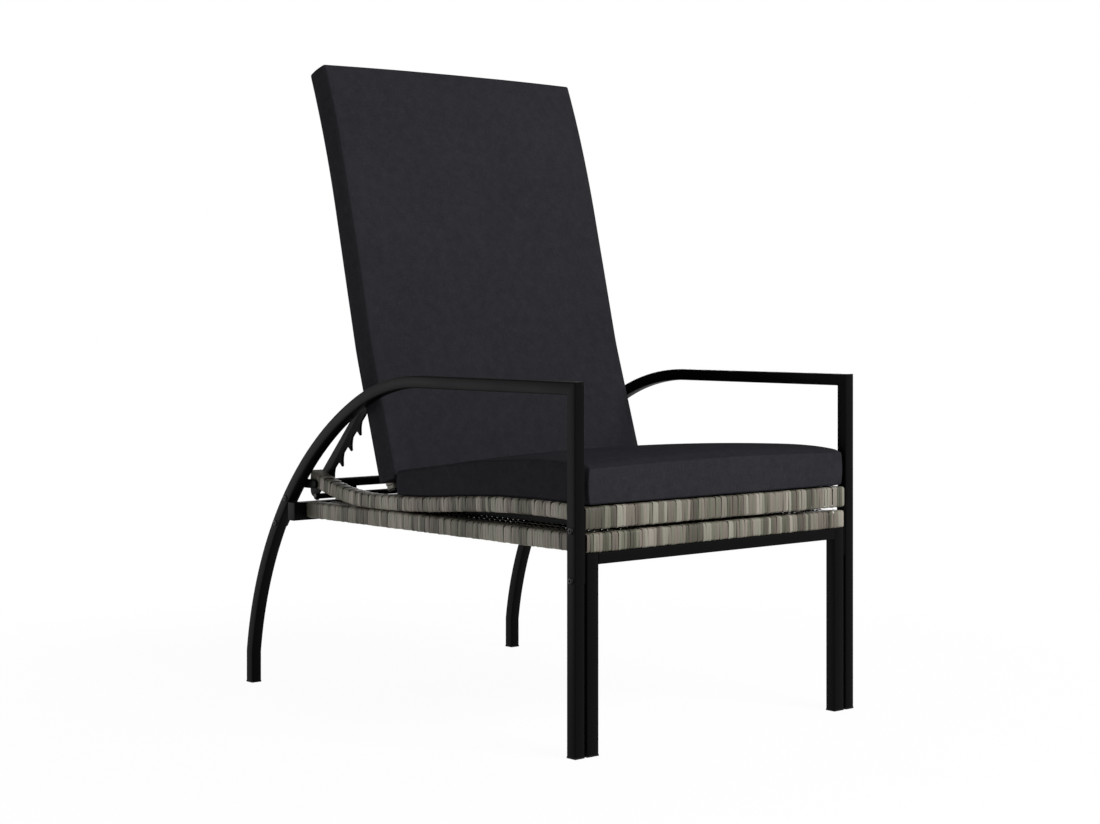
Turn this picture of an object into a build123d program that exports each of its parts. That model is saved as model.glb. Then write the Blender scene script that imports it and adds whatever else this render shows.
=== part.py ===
"""Chaise lounge with arched steel side frames, a reclining back held by toothed struts,
a wave shaped seat and a footrest that slides out from under the seat.

Millimetres. X is across, Y runs from the front (negative) to the back, Z is up.
The origin is on the floor below the middle of the object. Side outlines are drawn in
(distance behind the front face, height) and moved to the middle by the side plane.
"""
from math import asin, atan, cos, degrees, radians, sin, sqrt
import os

from build123d import *

os.makedirs("parts", exist_ok=True)

# Overall size
overall_width = 640.0
arm_height = 573.0

# Side frames: one bent square tube each, front leg, arm, arch and rear foot
frame_tube = 20.0
frame_wall = 1.5
shoulder_start = 395.8
shoulder_radius = 380.4
shoulder_angle = 26.8
arch_radius = 608.9
foot_length = 57.0
cap_flange = 3.0
cap_plug_length = 16.0

# Woven covering of the rails
wrap_thickness = 2.5
wrap_fit = 0.15
front_joint_gap = 0.8
top_joint_gap = 0.4
deck_thickness = 4.0

# Seat rails: a wave with a crest under the knees and a trough at the hips
side_gap = 5.0
rail_width = 22.0
seat_rail_height = 20.0
tube_wall = 1.5
crest_depth = 120.0
crest_height = 372.5
trough_depth = 560.0
trough_height = 353.0
front_wave_radius = 1800.0
rear_bar_drop_length = 6.5
rail_end_depth = 738.0
front_rail_height = 26.5
front_rail_bottom = 351.5
cross_depth = 20.0
cross_height = 12.0
cross_bottom = 354.0
deck_rear_bar_height = 6.0
front_cross_depth = 62.0
deck_end_gap = 40.0
deck_rear_bar_setback = 11.0
middle_cross_share = 0.57
hinge_cross_height = 9.0

# Back rest
hinge_depth = 550.0
hinge_height = 378.0
back_tube = 20.0
back_inset = 64.0
back_tilt_angle = 17.4
back_straight_length = 217.0
lumbar_radius = 600.0
lumbar_angle = 3.7
back_middle_length = 238.0
upper_radius = 1900.0
upper_angle = 7.0
back_tail_length = 9.0
back_wrap_start_distance = -5.0
back_panel_start_distance = 24.0
back_slat_height = 20.0
back_slat_depth = 16.0
low_slat_distance = 42.0
middle_slat_distance = 360.0

# Toothed struts
strut_pivot_distance = 163.9
strut_thickness = 4.0
strut_axis_drop_angle = 47.0
strut_back_width = 11.5
strut_floor_width = 12.0
tooth_depth = 14.0
tooth_pitch = 39.3
tooth_count = 4
first_tooth_distance = 75.5
tooth_tip_width = 3.0
notch_floor_width = 16.0
notch_radius = 7.0
strut_eye_radius = 12.0
tail_length = 246.0
tail_offset = 4.0
tail_radius = 12.5
tail_reach_length = 32.0
tooth_root_depth = 1.0
tooth_mid_share = 0.45
strut_inset = 58.5
rod_distance = 250.0
rod_offset = 7.6
rod_eye_radius = 7.0
catch_fit = 0.3
rear_bar_diameter = 16.0
tie_rod_diameter = 10.0

# Bolts and running fits
bolt_sides = 16
hexagon_sides = 6
frame_bolt_diameter = 6.0
pivot_bolt_diameter = 8.0
bolt_head_share = 1.8
head_height_share = 0.45
nut_share = 0.92
head_taper = 20.0
cap_taper = 1.0
nut_height = 6.0
bolt_fit = 0.1
seat_fit = 0.3
plate_thickness = 3.0
plate_half_width = 8.0
plate_corner = 5.0
washer_radius = 8.0
ear_thickness = 4.0
ear_radius = 10.0
ear_gap = 3.2
front_lower_bolt_height = 270.5
front_upper_bolt_height = 346.6
rear_upper_bolt_height = 345.0
rear_lower_bolt_height = 298.6
rod_bolt_diameter = 6.0

# Footrest
foot_rail_height = 21.0
foot_rail_bottom = 313.5
foot_leg_width = 24.0
foot_bar_height = 18.0
foot_stop_height = 32.0
foot_stop_depth = 20.0
foot_stop_top = 338.5
stop_gap = 0.6
foot_cross_height = 14.0
foot_cross_shares = (0.35, 0.7)
stop_cap = 1.5
rod_bolt_length = 14.0

# Sliding track and glides under the seat
track_inset = 105.0
track_width = 24.0
track_height = 12.0
track_wall = 1.5
track_slot = 9.0
track_slot_cut_height = 5.0
track_front_depth = 28.5
track_rear_depth = 744.0
glide_length = 20.0
glide_fit = 0.4
glide_base = 2.5
glide_seat = 6.0
glide_setback = 5.0
hanger_width = 12.0

# Cushions
cushion_inset = 27.5
seat_cushion_front_height = 72.0
seat_cushion_rear_height = 50.0
seat_cushion_crown_height = 9.0
seat_cushion_end_gap = 62.0
back_cushion_thickness = 52.0
back_cushion_crown_depth = 6.0
back_cushion_start_distance = 1.5
back_cushion_overhang_length = 24.0
cushion_fit = 0.9
cushion_end_round = 4.0
cushion_end_sharpness = 8
cushion_corner_round = 5.0
cushion_side_bulge = 3.0
least_crown_share = 0.5
cushion_station_shares = (0, 0.012, 0.05, 0.12, 0.2, 0.3, 0.4, 0.5, 0.6, 0.7, 0.8, 0.88, 0.95, 0.988, 1)

# Bolt places on the front legs, (depth, height)
front_bolts = [(frame_tube / 2, front_lower_bolt_height), (frame_tube / 2, front_upper_bolt_height)]

# Everything below follows from the sizes above
half_width = overall_width / 2
half_tube = frame_tube / 2
front_rail_rear = wrap_thickness + rail_width
back_tube_outer = half_width - back_inset
deck_end_depth = hinge_depth - deck_end_gap
deck_rear_bar_depth = deck_end_depth - deck_rear_bar_setback
middle_cross_depth = middle_cross_share * deck_end_depth
seat_cushion_end = hinge_depth - seat_cushion_end_gap
back_tube_middle = back_tube_outer - back_tube / 2
strut_middle = half_width - strut_inset
ear_middle = back_tube_outer - back_tube - ear_gap - ear_thickness / 2
pivot_radius = pivot_bolt_diameter / 2
rod_bolt_radius = rod_bolt_diameter / 2
tooth_ramp = tooth_pitch - notch_floor_width
track_middle = half_width - track_inset
track_bottom = cross_bottom - track_height - glide_fit
foot_deck_top = foot_rail_bottom + foot_rail_height + wrap_thickness - seat_fit
foot_cross_middle = foot_deck_top - deck_thickness - wrap_fit - foot_cross_height / 2
rail_outer = half_width - frame_tube - side_gap
rail_inner = rail_outer - rail_width - 2 * wrap_thickness
rail_mid = (rail_outer + rail_inner) / 2
plate_outer = half_width - frame_tube


# The arch of the side frame, which comes down to the rear foot
arm_centre = arm_height - half_tube
arch_centre = (
    shoulder_start + (shoulder_radius - arch_radius) * sin(radians(shoulder_angle)),
    arm_centre - shoulder_radius + (shoulder_radius - arch_radius) * cos(radians(shoulder_angle)),
)
arch_end_turn = asin((foot_length - arch_centre[1]) / arch_radius)
arch_turn = 90 - shoulder_angle - degrees(arch_end_turn)


def arch_depth(height, offset=0):
    """Depth of the arch's centre line at a height, or of a line beside it."""
    radius = arch_radius + offset
    return arch_centre[0] + sqrt(radius**2 - (height - arch_centre[1]) ** 2)


rear_foot_depth = arch_depth(foot_length)
overall_depth = rear_foot_depth + half_tube


def side_plane(x):
    """The side view at one place across the object, Y to the right and Z up."""
    return Plane(origin=(x, -overall_depth / 2, 0), x_dir=(0, 1, 0), z_dir=(1, 0, 0))


def save(name, builder):
    builder.part.label = name
    export_step(builder.part, f"parts/{name}.step")


def prism(x_from, x_to, center, depth, height, wall=0, tilt=0):
    """A bar or, with a wall, a tube that runs straight across from one side to the other."""
    with BuildPart() as bar:
        with BuildSketch(side_plane(x_from)):
            with Locations(Location((center[0], center[1]), tilt)):
                Rectangle(depth, height)
                if wall:
                    Rectangle(depth - 2 * wall, height - 2 * wall, mode=Mode.SUBTRACT)
        extrude(amount=x_to - x_from)
    return bar


def side_tube(x_middle, width, height, wall, draw):
    """Give the part being built a hollow tube that follows a line drawn in a side view."""
    layers = [
        (width, height, Mode.ADD),
        (width - 2 * wall, height - 2 * wall, Mode.SUBTRACT),
    ]
    for across, thick, mode in layers:
        with BuildSketch(side_plane(x_middle - across / 2)) as outline:
            with BuildLine():
                draw()
            trace(line_width=thick)
        extrude(outline.sketch, amount=across, mode=mode)


# The wave of the seat rails
wave_half_turn = 2 * atan((crest_height - trough_height) / (trough_depth - crest_depth))
wave_radius = (trough_depth - crest_depth) / (2 * sin(wave_half_turn))


def wave_height(depth):
    """Height of the seat rails' centre line at a distance behind the front face."""
    middle = (crest_depth + trough_depth) / 2
    if depth <= crest_depth:
        return crest_height - front_wave_radius + sqrt(front_wave_radius**2 - (crest_depth - depth) ** 2)
    if depth <= middle:
        return crest_height - wave_radius + sqrt(wave_radius**2 - (depth - crest_depth) ** 2)
    if depth <= trough_depth:
        return trough_height + wave_radius - sqrt(wave_radius**2 - (trough_depth - depth) ** 2)
    return trough_height + rear_wave_radius - sqrt(rear_wave_radius**2 - (depth - trough_depth) ** 2)


def wave_line(start, end, lift=0):
    """Draw the wave between two depths as tangent arcs. The end is past the middle of the wave."""
    turn = asin((crest_depth - start) / front_wave_radius)
    first = JernArc(
        start=(start, wave_height(start) + lift),
        tangent=(cos(turn), sin(turn)),
        radius=front_wave_radius,
        arc_size=-degrees(turn),
    )
    fall = JernArc(first @ 1, (1, 0), wave_radius, -degrees(wave_half_turn))
    if end <= trough_depth:
        left = wave_half_turn - asin((trough_depth - end) / wave_radius)
        JernArc(fall @ 1, fall % 1, wave_radius, degrees(left))
    else:
        rise = JernArc(fall @ 1, fall % 1, wave_radius, degrees(wave_half_turn))
        last = asin((end - trough_depth) / rear_wave_radius)
        JernArc(rise @ 1, rise % 1, rear_wave_radius, degrees(last))


# The line of the back rest tubes
back_up = (sin(radians(back_tilt_angle)), cos(radians(back_tilt_angle)))
hinge = (hinge_depth, hinge_height)
pivot = (hinge_depth + strut_pivot_distance * back_up[0], hinge_height + strut_pivot_distance * back_up[1])
lumbar_length = lumbar_radius * radians(lumbar_angle)
upper_length = upper_radius * radians(upper_angle)


def back_point(along, forward=0):
    """A point of the back and its tilt, at a length up the tubes from the hinge."""
    tilt = radians(back_tilt_angle)
    y, z = hinge_depth, hinge_height
    run = min(along, back_straight_length)
    y, z = y + run * sin(tilt), z + run * cos(tilt)
    turn = min(max(along - back_straight_length, 0), lumbar_length) / lumbar_radius
    y += lumbar_radius * (cos(tilt - turn) - cos(tilt))
    z += lumbar_radius * (sin(tilt) - sin(tilt - turn))
    tilt -= turn
    run = min(max(along - back_straight_length - lumbar_length, 0), back_middle_length)
    y, z = y + run * sin(tilt), z + run * cos(tilt)
    turn = max(along - back_straight_length - lumbar_length - back_middle_length, 0) / upper_radius
    y += upper_radius * (cos(tilt) - cos(tilt + turn))
    z += upper_radius * (sin(tilt + turn) - sin(tilt))
    tilt += turn
    return (y - forward * cos(tilt), z + forward * sin(tilt), tilt)


def back_line(start, forward=0, trim=0):
    """Draw the back from a length above or below the hinge to the top end, or a bit short of it."""
    low = back_point(start, forward)
    knee = back_point(back_straight_length, forward)
    straight = Line((low[0], low[1]), (knee[0], knee[1]))
    lumbar = JernArc(straight @ 1, straight % 1, lumbar_radius - forward, lumbar_angle)
    middle = Line(lumbar @ 1, (lumbar @ 1) + (lumbar % 1) * back_middle_length)
    JernArc(middle @ 1, middle % 1, upper_radius + forward, degrees(trim / upper_radius) - upper_angle)


back_length = back_straight_length + lumbar_length + back_middle_length + upper_length

# The struts, in their own plane: along the bar from the pivot, and up from its axis
axis_turn = radians(-strut_axis_drop_angle)
axis_dir = (cos(axis_turn), sin(axis_turn))
normal_dir = (-sin(axis_turn), cos(axis_turn))


def strut_point(along, up):
    """Side view place of a point of the strut."""
    return (
        pivot[0] + along * axis_dir[0] + up * normal_dir[0],
        pivot[1] + along * axis_dir[1] + up * normal_dir[1],
    )


rear_bar_radius = rear_bar_diameter / 2
last_tooth = first_tooth_distance + (tooth_count - 1) * tooth_pitch
rear_bar = strut_point(
    last_tooth + rear_bar_radius + catch_fit,
    -strut_floor_width - rear_bar_radius - catch_fit,
)
tie_rod = strut_point(rod_distance, -rod_offset)

# The rails' rear ends rise to just above the middle of the rear bar
rear_rise = rear_bar[1] + rear_bar_drop_length - trough_height
rear_wave_radius = ((rear_bar[0] - trough_depth) ** 2 + rear_rise**2) / (2 * rear_rise)

# The footrest's stop bar rests against the arches when the footrest is pushed in
foot_stop_centre = arch_depth(foot_stop_top, -half_tube) - stop_gap - foot_stop_depth / 2
foot_cross_depths = [share * foot_stop_centre for share in foot_cross_shares]
glide_rear = foot_stop_centre - foot_stop_depth / 2 - glide_setback

# Side frames: leg, arm, shoulder, arch and foot in one tube with a mitred front corner
rear_bolts = [
    (arch_depth(rear_upper_bolt_height), rear_upper_bolt_height),
    (arch_depth(rear_lower_bolt_height), rear_lower_bolt_height),
]
bolt_places = front_bolts + rear_bolts
bolt_radius = frame_bolt_diameter / 2


def frame_line():
    """Draw the side frame's centre line from the front foot over the arm to the rear foot."""
    leg = Line((half_tube, cap_flange), (half_tube, arm_centre))
    arm = Line(leg @ 1, (shoulder_start, arm_centre))
    shoulder = JernArc(arm @ 1, (1, 0), shoulder_radius, -shoulder_angle)
    arch = JernArc(shoulder @ 1, shoulder % 1, arch_radius, -arch_turn)
    Line(arch @ 1, ((arch @ 1).X, cap_flange))


def bolt_hole():
    """Hole of a frame bolt, in the sketch being drawn."""
    RegularPolygon(bolt_radius + bolt_fit, bolt_sides, major_radius=False)


def side_frame(side):
    """One side frame. The side is -1 on the left and 1 on the right."""
    with BuildPart() as frame:
        side_tube(side * (half_width - half_tube), frame_tube, frame_tube, frame_wall, frame_line)
        with BuildSketch(side_plane(-half_width if side < 0 else half_width - frame_tube)):
            with Locations(bolt_places):
                bolt_hole()
        extrude(amount=frame_tube, mode=Mode.SUBTRACT)
    return frame


def foot_caps(places, width, depth, wall):
    """Plastic caps pushed into the open ends of upright tubes, at (x, depth) places."""
    with BuildPart() as caps:
        with BuildSketch(Plane.XY):
            for x, y in places:
                with Locations((x, y - overall_depth / 2)):
                    Rectangle(width, depth)
        extrude(amount=cap_flange)
        with BuildSketch(Plane.XY.offset(cap_flange)):
            for x, y in places:
                with Locations((x, y - overall_depth / 2)):
                    Rectangle(width - 2 * wall - 2 * seat_fit, depth - 2 * wall - 2 * seat_fit)
        extrude(amount=cap_plug_length, taper=cap_taper)
    return caps


# Seat frame
def seat_rail(side):
    """Curved side tube of the seat, coped at the rear to sit against the rear bar."""
    with BuildPart() as rail:
        side_tube(
            side * rail_mid,
            rail_width,
            seat_rail_height,
            tube_wall,
            lambda: wave_line(front_rail_rear + front_joint_gap, rear_bar[0]),
        )
        with BuildSketch(side_plane(side * rail_mid - rail_width)):
            with Locations(rear_bar):
                Circle(rear_bar_radius + wrap_fit)
        extrude(amount=2 * rail_width, mode=Mode.SUBTRACT)
    return rail


def seat_wrap(side):
    """Woven sleeve round a seat side tube. The rear bar passes through it."""
    wide = rail_width + 2 * wrap_thickness
    high = seat_rail_height + 2 * wrap_thickness
    with BuildPart() as sleeve:
        side_tube(
            side * rail_mid,
            wide,
            high,
            wrap_thickness - wrap_fit,
            lambda: wave_line(front_rail_rear + wrap_thickness + front_joint_gap, rail_end_depth),
        )
        with BuildSketch(side_plane(side * rail_mid - wide)):
            with Locations(rear_bar):
                Rectangle(rear_bar_diameter + 2 * seat_fit, rear_bar_diameter + 2 * seat_fit)
        extrude(amount=2 * wide, mode=Mode.SUBTRACT)
        with BuildSketch(side_plane(side * rail_mid)):
            crossings = (
                (front_cross_depth, cross_height),
                (middle_cross_depth, cross_height),
                (hinge_depth, hinge_cross_height),
            )
            for depth, height in crossings:
                with Locations((depth, cross_bottom + height / 2)):
                    Rectangle(cross_depth + 2 * wrap_fit, height + 2 * wrap_fit)
            with Locations((deck_rear_bar_depth, cross_bottom + deck_rear_bar_height / 2)):
                Rectangle(cross_depth + 2 * wrap_fit, deck_rear_bar_height + 2 * wrap_fit)
        extrude(amount=-side * wide, mode=Mode.SUBTRACT)
    return sleeve


def sheet_on_wave(half_length, start, end, lift):
    """A woven sheet that follows the wave between the side rails."""
    with BuildPart() as sheet:
        with BuildSketch(side_plane(-half_length)):
            with BuildLine():
                wave_line(start, end, lift)
            trace(line_width=deck_thickness)
        extrude(amount=2 * half_length)
    return sheet


def front_plate(side):
    """Flat plate that ties the seat frame to the front leg with two bolts."""
    with BuildPart() as plate:
        with BuildSketch(side_plane(side * plate_outer - (plate_thickness if side > 0 else 0))):
            low = front_bolts[0][1] - plate_half_width
            high = front_rail_bottom + front_rail_height
            with Locations((half_tube, (low + high) / 2)):
                RectangleRounded(2 * plate_half_width, high - low, plate_corner)
            with Locations(front_bolts):
                RegularPolygon(bolt_radius + bolt_fit, bolt_sides, major_radius=False, mode=Mode.SUBTRACT)
        extrude(amount=plate_thickness)
    return plate


def rear_plate(side):
    """Bent flat that runs level from the rear bar to the arch and down it to two bolts."""
    level = (arch_depth(rear_bar[1]), rear_bar[1])
    with BuildPart() as plate:
        with BuildSketch(side_plane(side * plate_outer - (plate_thickness if side > 0 else 0))):
            for start, end in ((rear_bar, level), (level, rear_bolts[0]), rear_bolts):
                with BuildLine():
                    Line(start, end)
                trace(line_width=2 * plate_half_width)
            with Locations(rear_bar, level, *rear_bolts):
                Circle(plate_half_width)
            with Locations(rear_bolts):
                RegularPolygon(bolt_radius + bolt_fit, bolt_sides, major_radius=False, mode=Mode.SUBTRACT)
        extrude(amount=plate_thickness)
    return plate


def bolt_group(stacks, hexagon_head):
    """Bolts along X: (place, x under the head, x at the end, diameter, whether a nut ends it)."""
    with BuildPart() as bolts:
        for place, head_x, end_x, diameter, with_nut in stacks:
            way = 1 if end_x > head_x else -1
            head_height = head_height_share * diameter
            with BuildSketch(side_plane(head_x)):
                with Locations(place):
                    RegularPolygon(diameter / 2, bolt_sides)
            extrude(amount=end_x - head_x)
            with BuildSketch(side_plane(head_x)):
                with Locations(place):
                    if hexagon_head:
                        RegularPolygon(nut_share * diameter, hexagon_sides)
                    else:
                        RegularPolygon(bolt_head_share * diameter / 2, bolt_sides)
            extrude(amount=-way * head_height, taper=0 if hexagon_head else head_taper)
            if with_nut:
                with BuildSketch(side_plane(end_x - way * nut_height)):
                    with Locations(place):
                        RegularPolygon(nut_share * diameter, hexagon_sides)
                extrude(amount=way * nut_height)
    return bolts


def hinge_ear(side):
    """Ear plate inside an upright. It stands on the hinge cross tube and carries the hinge bolt."""
    foot = cross_bottom + hinge_cross_height + wrap_fit
    with BuildPart() as ear:
        with BuildSketch(side_plane(side * ear_middle - ear_thickness / 2)):
            with Locations((hinge_depth, (foot + hinge_height) / 2)):
                Rectangle(2 * ear_radius, hinge_height - foot)
            with Locations(hinge):
                Circle(ear_radius)
                Circle(pivot_radius + bolt_fit, mode=Mode.SUBTRACT)
        extrude(amount=ear_thickness)
    return ear


def slide_track(side):
    """Channel with a slot below, in which a glide of the footrest runs."""
    with BuildPart() as track:
        start = Plane(
            origin=(
                side * track_middle,
                track_front_depth - overall_depth / 2,
                track_bottom + track_height / 2,
            ),
            x_dir=(1, 0, 0),
            z_dir=(0, 1, 0),
        )
        with BuildSketch(start):
            Rectangle(track_width, track_height)
            Rectangle(track_width - 2 * track_wall, track_height - 2 * track_wall, mode=Mode.SUBTRACT)
            with Locations((0, track_height / 2)):
                Rectangle(track_slot, track_slot_cut_height, mode=Mode.SUBTRACT)
        extrude(amount=track_rear_depth - track_front_depth)
    return track


# Back rest
def back_side_tube(side):
    """One upright tube of the back, bent to the curve of the back, with its two bolt holes."""
    with BuildPart() as tube:
        side_tube(
            side * back_tube_middle,
            back_tube,
            back_tube,
            tube_wall,
            lambda: back_line(-back_tail_length),
        )
        with BuildSketch(side_plane(side * back_tube_middle - back_tube)):
            with Locations(hinge, pivot):
                Circle(pivot_radius + bolt_fit)
        extrude(amount=2 * back_tube, mode=Mode.SUBTRACT)
    return tube


def back_wrap(side):
    """Woven sleeve round an upright of the back, open at the strut's bolt and inside at the hinge."""
    wide = back_tube + 2 * wrap_thickness
    with BuildPart() as sleeve:
        side_tube(
            side * back_tube_middle,
            wide,
            wide,
            wrap_thickness - wrap_fit,
            lambda: back_line(back_wrap_start_distance, trim=wrap_thickness + wrap_fit),
        )
        with BuildSketch(side_plane(side * back_tube_middle - wide)):
            with Locations(Location(pivot, -back_tilt_angle)):
                Rectangle(2 * washer_radius + 2 * seat_fit, 2 * washer_radius + 2 * seat_fit)
        extrude(amount=2 * wide, mode=Mode.SUBTRACT)
        with BuildSketch(side_plane(side * back_tube_middle)):
            for along in (low_slat_distance, middle_slat_distance):
                y, z, tilt = back_point(along)
                with Locations(Location((y, z), -degrees(tilt))):
                    Rectangle(back_slat_depth + 2 * wrap_fit, back_slat_height + 2 * wrap_fit)
            with Locations(Location(hinge, -back_tilt_angle)):
                Rectangle(2 * washer_radius + 2 * seat_fit, 2 * washer_radius + 2 * seat_fit)
        extrude(amount=-side * wide, mode=Mode.SUBTRACT)
    return sleeve


def back_slat(along, half_length, depth, height, wall):
    """A tube of the back that runs across at a length up the uprights."""
    y, z, tilt = back_point(along)
    return prism(-half_length, half_length, (y, z), depth, height, wall, -degrees(tilt))


def back_sheet(half_length, start, forward):
    """Woven sheet between the uprights of the back."""
    with BuildPart() as sheet:
        with BuildSketch(side_plane(-half_length)):
            with BuildLine():
                back_line(start, forward, wrap_thickness + wrap_fit)
            trace(line_width=deck_thickness)
        extrude(amount=2 * half_length)
    return sheet


def washers(places, x_from, thickness, radius, bore):
    """Plain washers along X on both sides of the object."""
    with BuildPart() as rings:
        for side in (-1, 1):
            with BuildSketch(side_plane(side * x_from)):
                with Locations(places):
                    Circle(radius)
                    Circle(bore, mode=Mode.SUBTRACT)
            extrude(amount=-side * thickness)
    return rings


# Struts
def strut_plane(x):
    """Plane of a strut: its X runs down the bar from the pivot, its Y points up off it."""
    return Plane(
        origin=(x, pivot[0] - overall_depth / 2, pivot[1]),
        x_dir=(0, axis_dir[0], axis_dir[1]),
        z_dir=(1, 0, 0),
    )


def notch_corners(corners):
    """The corner of each notch, where the far face of a tooth meets the bar."""
    faces = [first_tooth_distance + number * tooth_pitch for number in range(tooth_count)]
    return [
        corner
        for corner in corners
        if abs(corner.Y + strut_floor_width) < catch_fit
        and min(abs(corner.X - face) for face in faces) < catch_fit
    ]


def toothed_strut(side):
    """Flat bar with hook shaped teeth. Each hook's far face catches the rear bar."""
    hook = strut_floor_width + tooth_depth
    with BuildPart() as strut:
        with BuildSketch(strut_plane(side * strut_middle - strut_thickness / 2)) as bar:
            with BuildLine():
                Polyline(
                    (0, strut_back_width),
                    (tail_length - tail_reach_length, strut_back_width),
                    (tail_length, tail_offset + tail_radius),
                    (rod_distance, -rod_offset),
                    (last_tooth + notch_floor_width, -strut_floor_width),
                    (0, -strut_floor_width),
                    close=True,
                )
            make_face()
            with Locations((0, 0)):
                Circle(strut_eye_radius)
            with Locations((tail_length, tail_offset)):
                Circle(tail_radius)
            with Locations((rod_distance, -rod_offset)):
                Circle(rod_eye_radius)
            for number in range(tooth_count):
                tip = first_tooth_distance + number * tooth_pitch
                root = -strut_floor_width + tooth_root_depth
                back = tip - tooth_mid_share * tooth_ramp
                belly = -strut_floor_width - tooth_mid_share * tooth_depth
                with BuildLine():
                    Line((tip - tooth_ramp, root), (tip, root))
                    Line((tip, root), (tip, -hook))
                    Line((tip, -hook), (tip - tooth_tip_width, -hook))
                    ThreePointArc((tip - tooth_tip_width, -hook), (back, belly), (tip - tooth_ramp, root))
                make_face()
            fillet(notch_corners(bar.vertices()), notch_radius)
            with Locations((0, 0)):
                Circle(pivot_radius + bolt_fit, mode=Mode.SUBTRACT)
            with Locations((rod_distance, -rod_offset)):
                Circle(rod_bolt_radius + bolt_fit, mode=Mode.SUBTRACT)
        extrude(amount=strut_thickness)
    return strut


# Footrest
def glide(side):
    """T shaped nylon glide: base on the stop bar, neck in the slot, head in the track."""
    with BuildPart() as block:
        base_rear = foot_stop_centre - foot_stop_depth / 2 + glide_seat
        front = glide_rear - glide_length
        with BuildSketch(Plane.XY.offset(foot_stop_top)):
            with Locations((side * track_middle, (front + base_rear) / 2 - overall_depth / 2)):
                Rectangle(track_width, base_rear - front)
        extrude(amount=glide_base)
        neck_height = track_bottom + track_wall + glide_fit - foot_stop_top - glide_base
        with BuildSketch(Plane.XY.offset(foot_stop_top + glide_base)):
            with Locations((side * track_middle, (front + glide_rear) / 2 - overall_depth / 2)):
                Rectangle(track_slot - 2 * glide_fit, glide_length)
        extrude(amount=neck_height)
        with BuildSketch(Plane.XY.offset(foot_stop_top + glide_base + neck_height)):
            with Locations((side * track_middle, (front + glide_rear) / 2 - overall_depth / 2)):
                Rectangle(track_width - 2 * track_wall - 2 * glide_fit, glide_length)
        extrude(amount=track_height - 2 * track_wall - 2 * glide_fit)
    return block


# Cushions
def cushion_section(plane, half_wide, low, high, crown, corner):
    """Closed outline of a cushion across its length: flat below, crowned above, soft sides."""
    with BuildSketch(plane) as section:
        with BuildLine():
            middle = (low + high) / 2
            Line((-half_wide + corner, low), (half_wide - corner, low))
            ThreePointArc(
                (half_wide - corner, low), (half_wide, middle), (half_wide - corner, high)
            )
            ThreePointArc(
                (half_wide - corner, high), (0, high + crown), (-half_wide + corner, high)
            )
            ThreePointArc(
                (-half_wide + corner, high), (-half_wide, middle), (-half_wide + corner, low)
            )
        make_face()
    return section.sketch.faces()


def swell(share):
    """How far a cushion has risen from its end to its middle, from 0 to 1."""
    return sqrt(1 - abs(2 * share - 1) ** cushion_end_sharpness)


def loft_cushion(stations):
    """Cushion through outlines across it: (plane, underside, thickness, crown, share of length)."""
    outlines = []
    for plane, low, thickness, crown, share in stations:
        soft = 1 - swell(share)
        outlines += cushion_section(
            plane,
            half_width - cushion_inset - soft * cushion_corner_round,
            low + soft * cushion_end_round,
            low + thickness - crown - soft * cushion_end_round,
            crown * max(1 - soft, least_crown_share),
            cushion_side_bulge,
        )
    with BuildPart() as cushion:
        loft(outlines, ruled=True)
    return cushion


def seat_cushion_part():
    """Box cushion on the wave of the seat, thick at the knees and thinner at the hips."""
    stations = []
    for share in cushion_station_shares:
        depth = share * seat_cushion_end
        low = wave_height(depth) + seat_rail_height / 2 + wrap_thickness + cushion_fit
        thinning = seat_cushion_front_height - seat_cushion_rear_height
        thickness = seat_cushion_front_height - thinning * share**2
        plane = Plane(origin=(0, depth - overall_depth / 2, 0), x_dir=(-1, 0, 0), z_dir=(0, 1, 0))
        stations.append((plane, low, thickness, seat_cushion_crown_height, share))
    return loft_cushion(stations)


def back_cushion_part():
    """Box cushion that lies along the back, crowned towards the sitter."""
    base = back_tube / 2 + wrap_thickness + cushion_fit
    full = back_length + back_cushion_overhang_length - back_cushion_start_distance
    stations = []
    for share in cushion_station_shares:
        y, z, tilt = back_point(back_cushion_start_distance + share * full)
        plane = Plane(
            origin=(0, y - overall_depth / 2, z),
            x_dir=(-1, 0, 0),
            z_dir=(0, sin(tilt), cos(tilt)),
        )
        stations.append((plane, base, back_cushion_thickness, back_cushion_crown_depth, share))
    return loft_cushion(stations)


def front_sleeve(half_length, center, depth, height, window_height):
    """Sleeve of a front rail, open at the rear where the two side rails meet the rail."""
    with BuildPart() as sleeve:
        with BuildSketch(side_plane(-half_length)):
            with Locations(center):
                Rectangle(depth + 2 * wrap_thickness, height + 2 * wrap_thickness)
                Rectangle(depth + 2 * wrap_fit, height + 2 * wrap_fit, mode=Mode.SUBTRACT)
        extrude(amount=2 * half_length)
        for side in (-1, 1):
            with BuildSketch(side_plane(side * rail_mid - rail_width / 2 - wrap_fit)):
                with Locations((center[0] + depth / 2, window_height)):
                    Rectangle(2 * wrap_thickness + depth / 2, foot_rail_height + 2 * wrap_fit)
            extrude(amount=rail_width + 2 * wrap_fit, mode=Mode.SUBTRACT)
    return sleeve


def box_along(x_middle, y_from, y_to, z_middle, width, height, wall=0):
    """A straight bar or tube that runs from front to back."""
    start = Plane(origin=(x_middle, y_from - overall_depth / 2, z_middle), x_dir=(1, 0, 0), z_dir=(0, -1, 0))
    with BuildPart() as bar:
        with BuildSketch(start):
            Rectangle(width, height)
            if wall:
                Rectangle(width - 2 * wall, height - 2 * wall, mode=Mode.SUBTRACT)
        extrude(amount=y_from - y_to)
    return bar


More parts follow.
